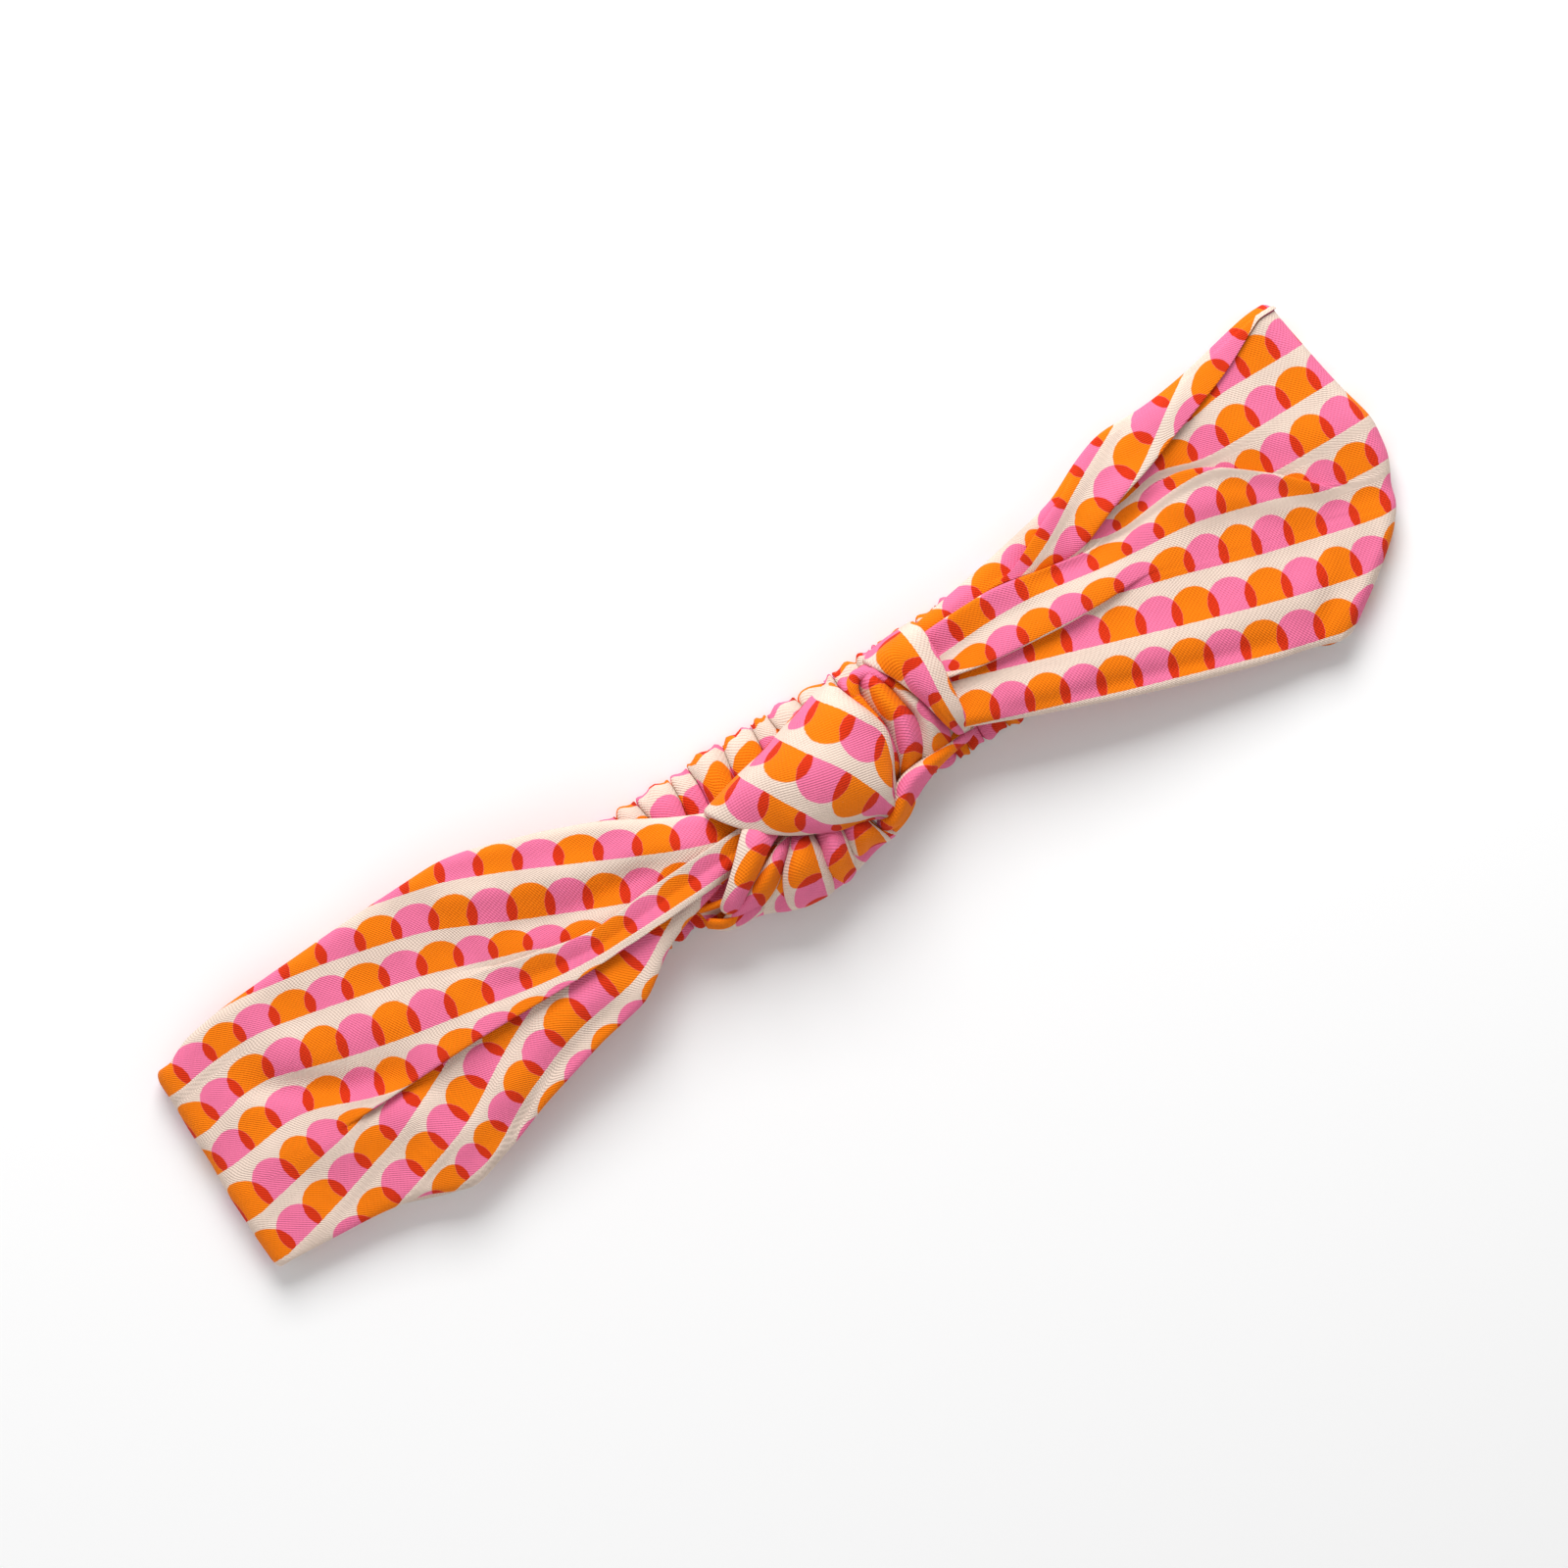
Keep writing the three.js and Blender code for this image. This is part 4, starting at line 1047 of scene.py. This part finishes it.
class Nodes:
    """A few short calls to build a material's node tree."""

    def __init__(self, name):
        self.material = bpy.data.materials.new(name)
        self.material.use_nodes = True
        self.tree = self.material.node_tree
        self.shader = self.tree.nodes["Principled BSDF"]

    def add(self, kind, **values):
        node = self.tree.nodes.new(kind)
        for key, value in values.items():
            setattr(node, key, value)
        return node

    def put(self, value, target):
        """Links a socket to an input, or sets the input to a value."""
        if isinstance(value, bpy.types.NodeSocket):
            self.tree.links.new(value, target)
        else:
            target.default_value = value

    def math(self, operation, *inputs):
        node = self.add("ShaderNodeMath", operation=operation)
        for socket, value in zip(node.inputs, inputs):
            self.put(value, socket)
        return node.outputs[0]

    def wave(self, value, pitch):
        return self.math("SINE", self.math("MULTIPLY", value, 2 * math.pi / pitch))

    def mix(self, share, first, second, blend="MIX"):
        node = self.add("ShaderNodeMix", data_type="RGBA", blend_type=blend)
        self.put(share, node.inputs[0])
        self.put(first, node.inputs[6])
        self.put(second, node.inputs[7])
        return node.outputs[2]

    def noise(self, vector, scale, detail=2.0):
        node = self.add("ShaderNodeTexNoise")
        self.put(vector, node.inputs["Vector"])
        self.put(scale, node.inputs["Scale"])
        self.put(detail, node.inputs["Detail"])
        return node.outputs[0]

    def uv_millimetres(self):
        node = self.add("ShaderNodeUVMap", uv_map="print")
        split = self.add("ShaderNodeSeparateXYZ")
        self.put(node.outputs[0], split.inputs[0])
        u, v = (self.math("MULTIPLY", split.outputs[k], 1 / MM) for k in (0, 1))
        return u, v

    def object_place(self):
        return self.add("ShaderNodeTexCoord").outputs["Object"]

    def grey(self, value):
        node = self.add("ShaderNodeCombineColor")
        for socket in node.inputs:
            self.put(value, socket)
        return node.outputs[0]

    def bump(self, height, distance, strength=1.0, below=None):
        node = self.add("ShaderNodeBump")
        self.put(distance, node.inputs["Distance"])
        self.put(strength, node.inputs["Strength"])
        self.put(height, node.inputs["Height"])
        if below is not None:
            self.put(below, node.inputs["Normal"])
        return node.outputs[0]

    def surface(self, inputs):
        """The finished material, with the shader's inputs set or linked by name."""
        for name, value in inputs.items():
            self.put(value, self.shader.inputs[name])
        return self.material


CREAM = (0.85, 0.67, 0.56, 1)
ORANGE = (0.97, 0.215, 0.003, 1)
PINK = (0.92, 0.19, 0.36, 1)
OVERLAP = (0.72, 0.036, 0.006, 1)


def disc(nodes, u, y, centre):
    """1 inside a printed half disc of the repeat centred at u = centre, 0 outside."""
    across = nodes.math("WRAP", nodes.math("SUBTRACT", u, centre), REPEAT / 2, -REPEAT / 2)
    up = nodes.math("SUBTRACT", y, DISC_RISE)
    square = nodes.math("ADD", nodes.math("MULTIPLY", across, across),
                        nodes.math("MULTIPLY", up, up))
    inside = nodes.math("SUBTRACT", DISC_RADIUS, nodes.math("SQRT", square))
    sharp = nodes.math("MULTIPLY_ADD", inside, 7.0, 0.5)
    return nodes.math("MINIMUM", nodes.math("MAXIMUM", sharp, 0.0), 1.0)


def printed_colour(nodes, place, u, v):
    """Rows of half discs, orange and pink by turns, red where they overlap, on cream."""
    ragged = nodes.noise(place, 1400)
    u = nodes.math("ADD", u, nodes.math("MULTIPLY_ADD", ragged, 0.30, -0.15))
    v = nodes.math("ADD", v, nodes.math("MULTIPLY_ADD", ragged, -0.24, 0.12))
    row = nodes.math("FLOOR", nodes.math("DIVIDE", v, ROW))
    y = nodes.math("SUBTRACT", v, nodes.math("MULTIPLY", row, ROW))
    odd = nodes.math("FLOORED_MODULO", row, 2.0)
    u = nodes.math("ADD", u, nodes.math("MULTIPLY", odd, STAGGER))
    orange, pink = disc(nodes, u, y, 0.0), disc(nodes, u, y, REPEAT / 2)
    colour = nodes.mix(pink, nodes.mix(orange, CREAM, ORANGE), PINK)
    return nodes.mix(nodes.math("MULTIPLY", orange, pink), colour, OVERLAP)


def make_printed_cotton():
    nodes = Nodes("printed_cotton")
    place = nodes.object_place()
    u, v = nodes.uv_millimetres()
    twill = nodes.wave(nodes.math("ADD", u, v), 0.55)
    cross = nodes.wave(nodes.math("SUBTRACT", u, v), 0.9)
    weave = nodes.math("MULTIPLY_ADD", twill, 0.5, nodes.math("MULTIPLY", cross, 0.25))
    slub = nodes.noise(place, 260, 4.0)
    shade = nodes.math("MULTIPLY_ADD", slub, 0.16, 0.90)
    shade = nodes.math("ADD", shade, nodes.math("MULTIPLY", weave, 0.05))
    colour = nodes.mix(1.0, printed_colour(nodes, place, u, v), nodes.grey(shade), "MULTIPLY")
    fuzz = nodes.bump(nodes.noise(place, 420, 3.0), 0.00012, 0.6)
    return nodes.surface({
        "Base Color": colour, "Roughness": nodes.math("MULTIPLY_ADD", slub, 0.18, 0.76),
        "Normal": nodes.bump(weave, 0.00012, 0.8, fuzz), "Sheen Weight": 0.03,
        "Sheen Roughness": 0.45, "Specular IOR Level": 0.12})


def make_woven_elastic():
    nodes = Nodes("woven_elastic")
    u, v = nodes.uv_millimetres()
    picks = nodes.math("MULTIPLY", nodes.wave(u, 0.7), 0.4)
    weave = nodes.math("MULTIPLY_ADD", nodes.wave(v, 1.1), 0.6, picks)
    share = nodes.math("MULTIPLY_ADD", weave, 0.3, 0.5)
    return nodes.surface({
        "Base Color": nodes.mix(share, (0.72, 0.71, 0.67, 1), (0.90, 0.89, 0.85, 1)),
        "Roughness": nodes.math("MULTIPLY_ADD", weave, 0.05, 0.7),
        "Normal": nodes.bump(weave, 0.00015)})


def make_sewing_thread():
    nodes = Nodes("sewing_thread")
    fuzz = nodes.noise(nodes.object_place(), 5000, 3.0)
    return nodes.surface({
        "Base Color": nodes.mix(fuzz, (0.70, 0.58, 0.47, 1), (0.88, 0.78, 0.66, 1)),
        "Roughness": nodes.math("MULTIPLY_ADD", fuzz, 0.2, 0.45),
        "Normal": nodes.bump(fuzz, 0.00005), "Sheen Weight": 0.1})


def make_pale_floor():
    return Nodes("pale_floor").surface({
        "Base Color": (0.93, 0.93, 0.93, 1), "Roughness": 0.9, "Specular IOR Level": 0.1})


# ---- stage, light and camera ----

FLOOR_HALF = 3.0             # metres
FLOOR_DROP = 0.00005


def build_stage():
    mesh = bpy.data.meshes.new("floor")
    square = [(-1, -1), (1, -1), (1, 1), (-1, 1)]
    mesh.from_pydata([(FLOOR_HALF * x, FLOOR_HALF * y, 0) for x, y in square], [], [range(4)])
    mesh.materials.append(make_pale_floor())
    floor = bpy.data.objects.new("floor", mesh)
    floor.location.z = -FLOOR_DROP
    bpy.context.collection.objects.link(floor)


def add_light(name, reach, size, power, target):
    """An area light that stands at reach from its target and faces it."""
    data = bpy.data.lights.new(name, "AREA")
    data.size, data.energy = size, power
    light = bpy.data.objects.new(name, data)
    light.location = target + Vector(reach)
    light.rotation_euler = (-Vector(reach)).to_track_quat("-Z", "Y").to_euler()
    bpy.context.collection.objects.link(light)


def build_light():
    world = bpy.data.worlds.new("studio")
    world.use_nodes = True
    world.node_tree.nodes["Background"].inputs["Color"].default_value = (1, 1, 1, 1)
    world.node_tree.nodes["Background"].inputs["Strength"].default_value = 0.46
    bpy.context.scene.world = world
    bpy.context.scene.view_settings.view_transform = "Standard"
    centre = (cad_box[0] + cad_box[1]) / 2
    add_light("key", (0.28, 0.58, 0.58), 0.5, 7.5, centre)
    add_light("fill", (-0.55, -0.2, 0.55), 0.7, 0.8, centre)


TURN = math.radians(33)      # how far the band is turned in the picture
PICTURE_WIDTH = 0.2712       # metres, at half the band's height
VIEW_OFFSET = (-0.009, 3.719)
LENS = 120
SENSOR = 36


def build_camera():
    data = bpy.data.cameras.new("camera")
    data.lens, data.sensor_width = LENS, SENSOR
    camera = bpy.data.objects.new("camera", data)
    x, y = (VIEW_OFFSET + OFFSET[:2]) * MM
    camera.location = (x, y, PICTURE_WIDTH * LENS / SENSOR + cad_box[1].z / 2)
    camera.rotation_euler = (0, 0, -TURN)
    bpy.context.collection.objects.link(camera)
    bpy.context.scene.camera = camera


# ---- putting it together ----

TUBE_WIDTH = 57      # the band's turned tube, flat and unfolded


def place(piece, slot, nodes):
    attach(piece, "root")
    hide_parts(*nodes)
    return piece


def sew(thread):
    """The CAD model's own zigzag threads are kept, in a better material."""
    for name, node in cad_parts.items():
        if "stitching" in name or "tack" in name:
            node.data.materials.clear()
            node.data.materials.append(thread)


def build():
    cotton = make_printed_cotton()
    cloth = [
        (build_left_band, ["front_wing_left", "end_fold_left", "back_wing_left"],
         (TUBE_WIDTH, 180), "folded"),
        (build_right_band, ["front_wing_right", "end_fold_right", "back_wing_right"],
         (TUBE_WIDTH, 166), "folded"),
        (build_front_wrap, ["knot_front_wrap"], (28, 33), "folded"),
        (build_lower_wrap, ["knot_lower_wrap"], (TUBE_WIDTH, 22), "gathered"),
        (build_inner_pleats, ["knot_inner_pleats"], (24, 24), "gathered"),
        (build_collar, ["knot_collar"], (10, 29), "folded"),
        (build_side_roll, ["knot_side_roll"], (10, 24), "folded"),
        (build_inner_pass, ["knot_inner_pass"], (12, 36), "folded"),
        (build_back_wrap, ["knot_back_wrap"], (15, 53), "folded"),
        (build_casing, ["elastic_casing"], (52, 140), "gathered"),
    ]
    for make, nodes, flat, held in cloth:
        piece = place(make(cotton), "printed_cotton", nodes)
    elastic = build_elastic(make_woven_elastic())
    place(elastic, "woven_elastic", ["elastic_band"])
    sew(make_sewing_thread())


build()
build_stage()
build_light()
build_camera()
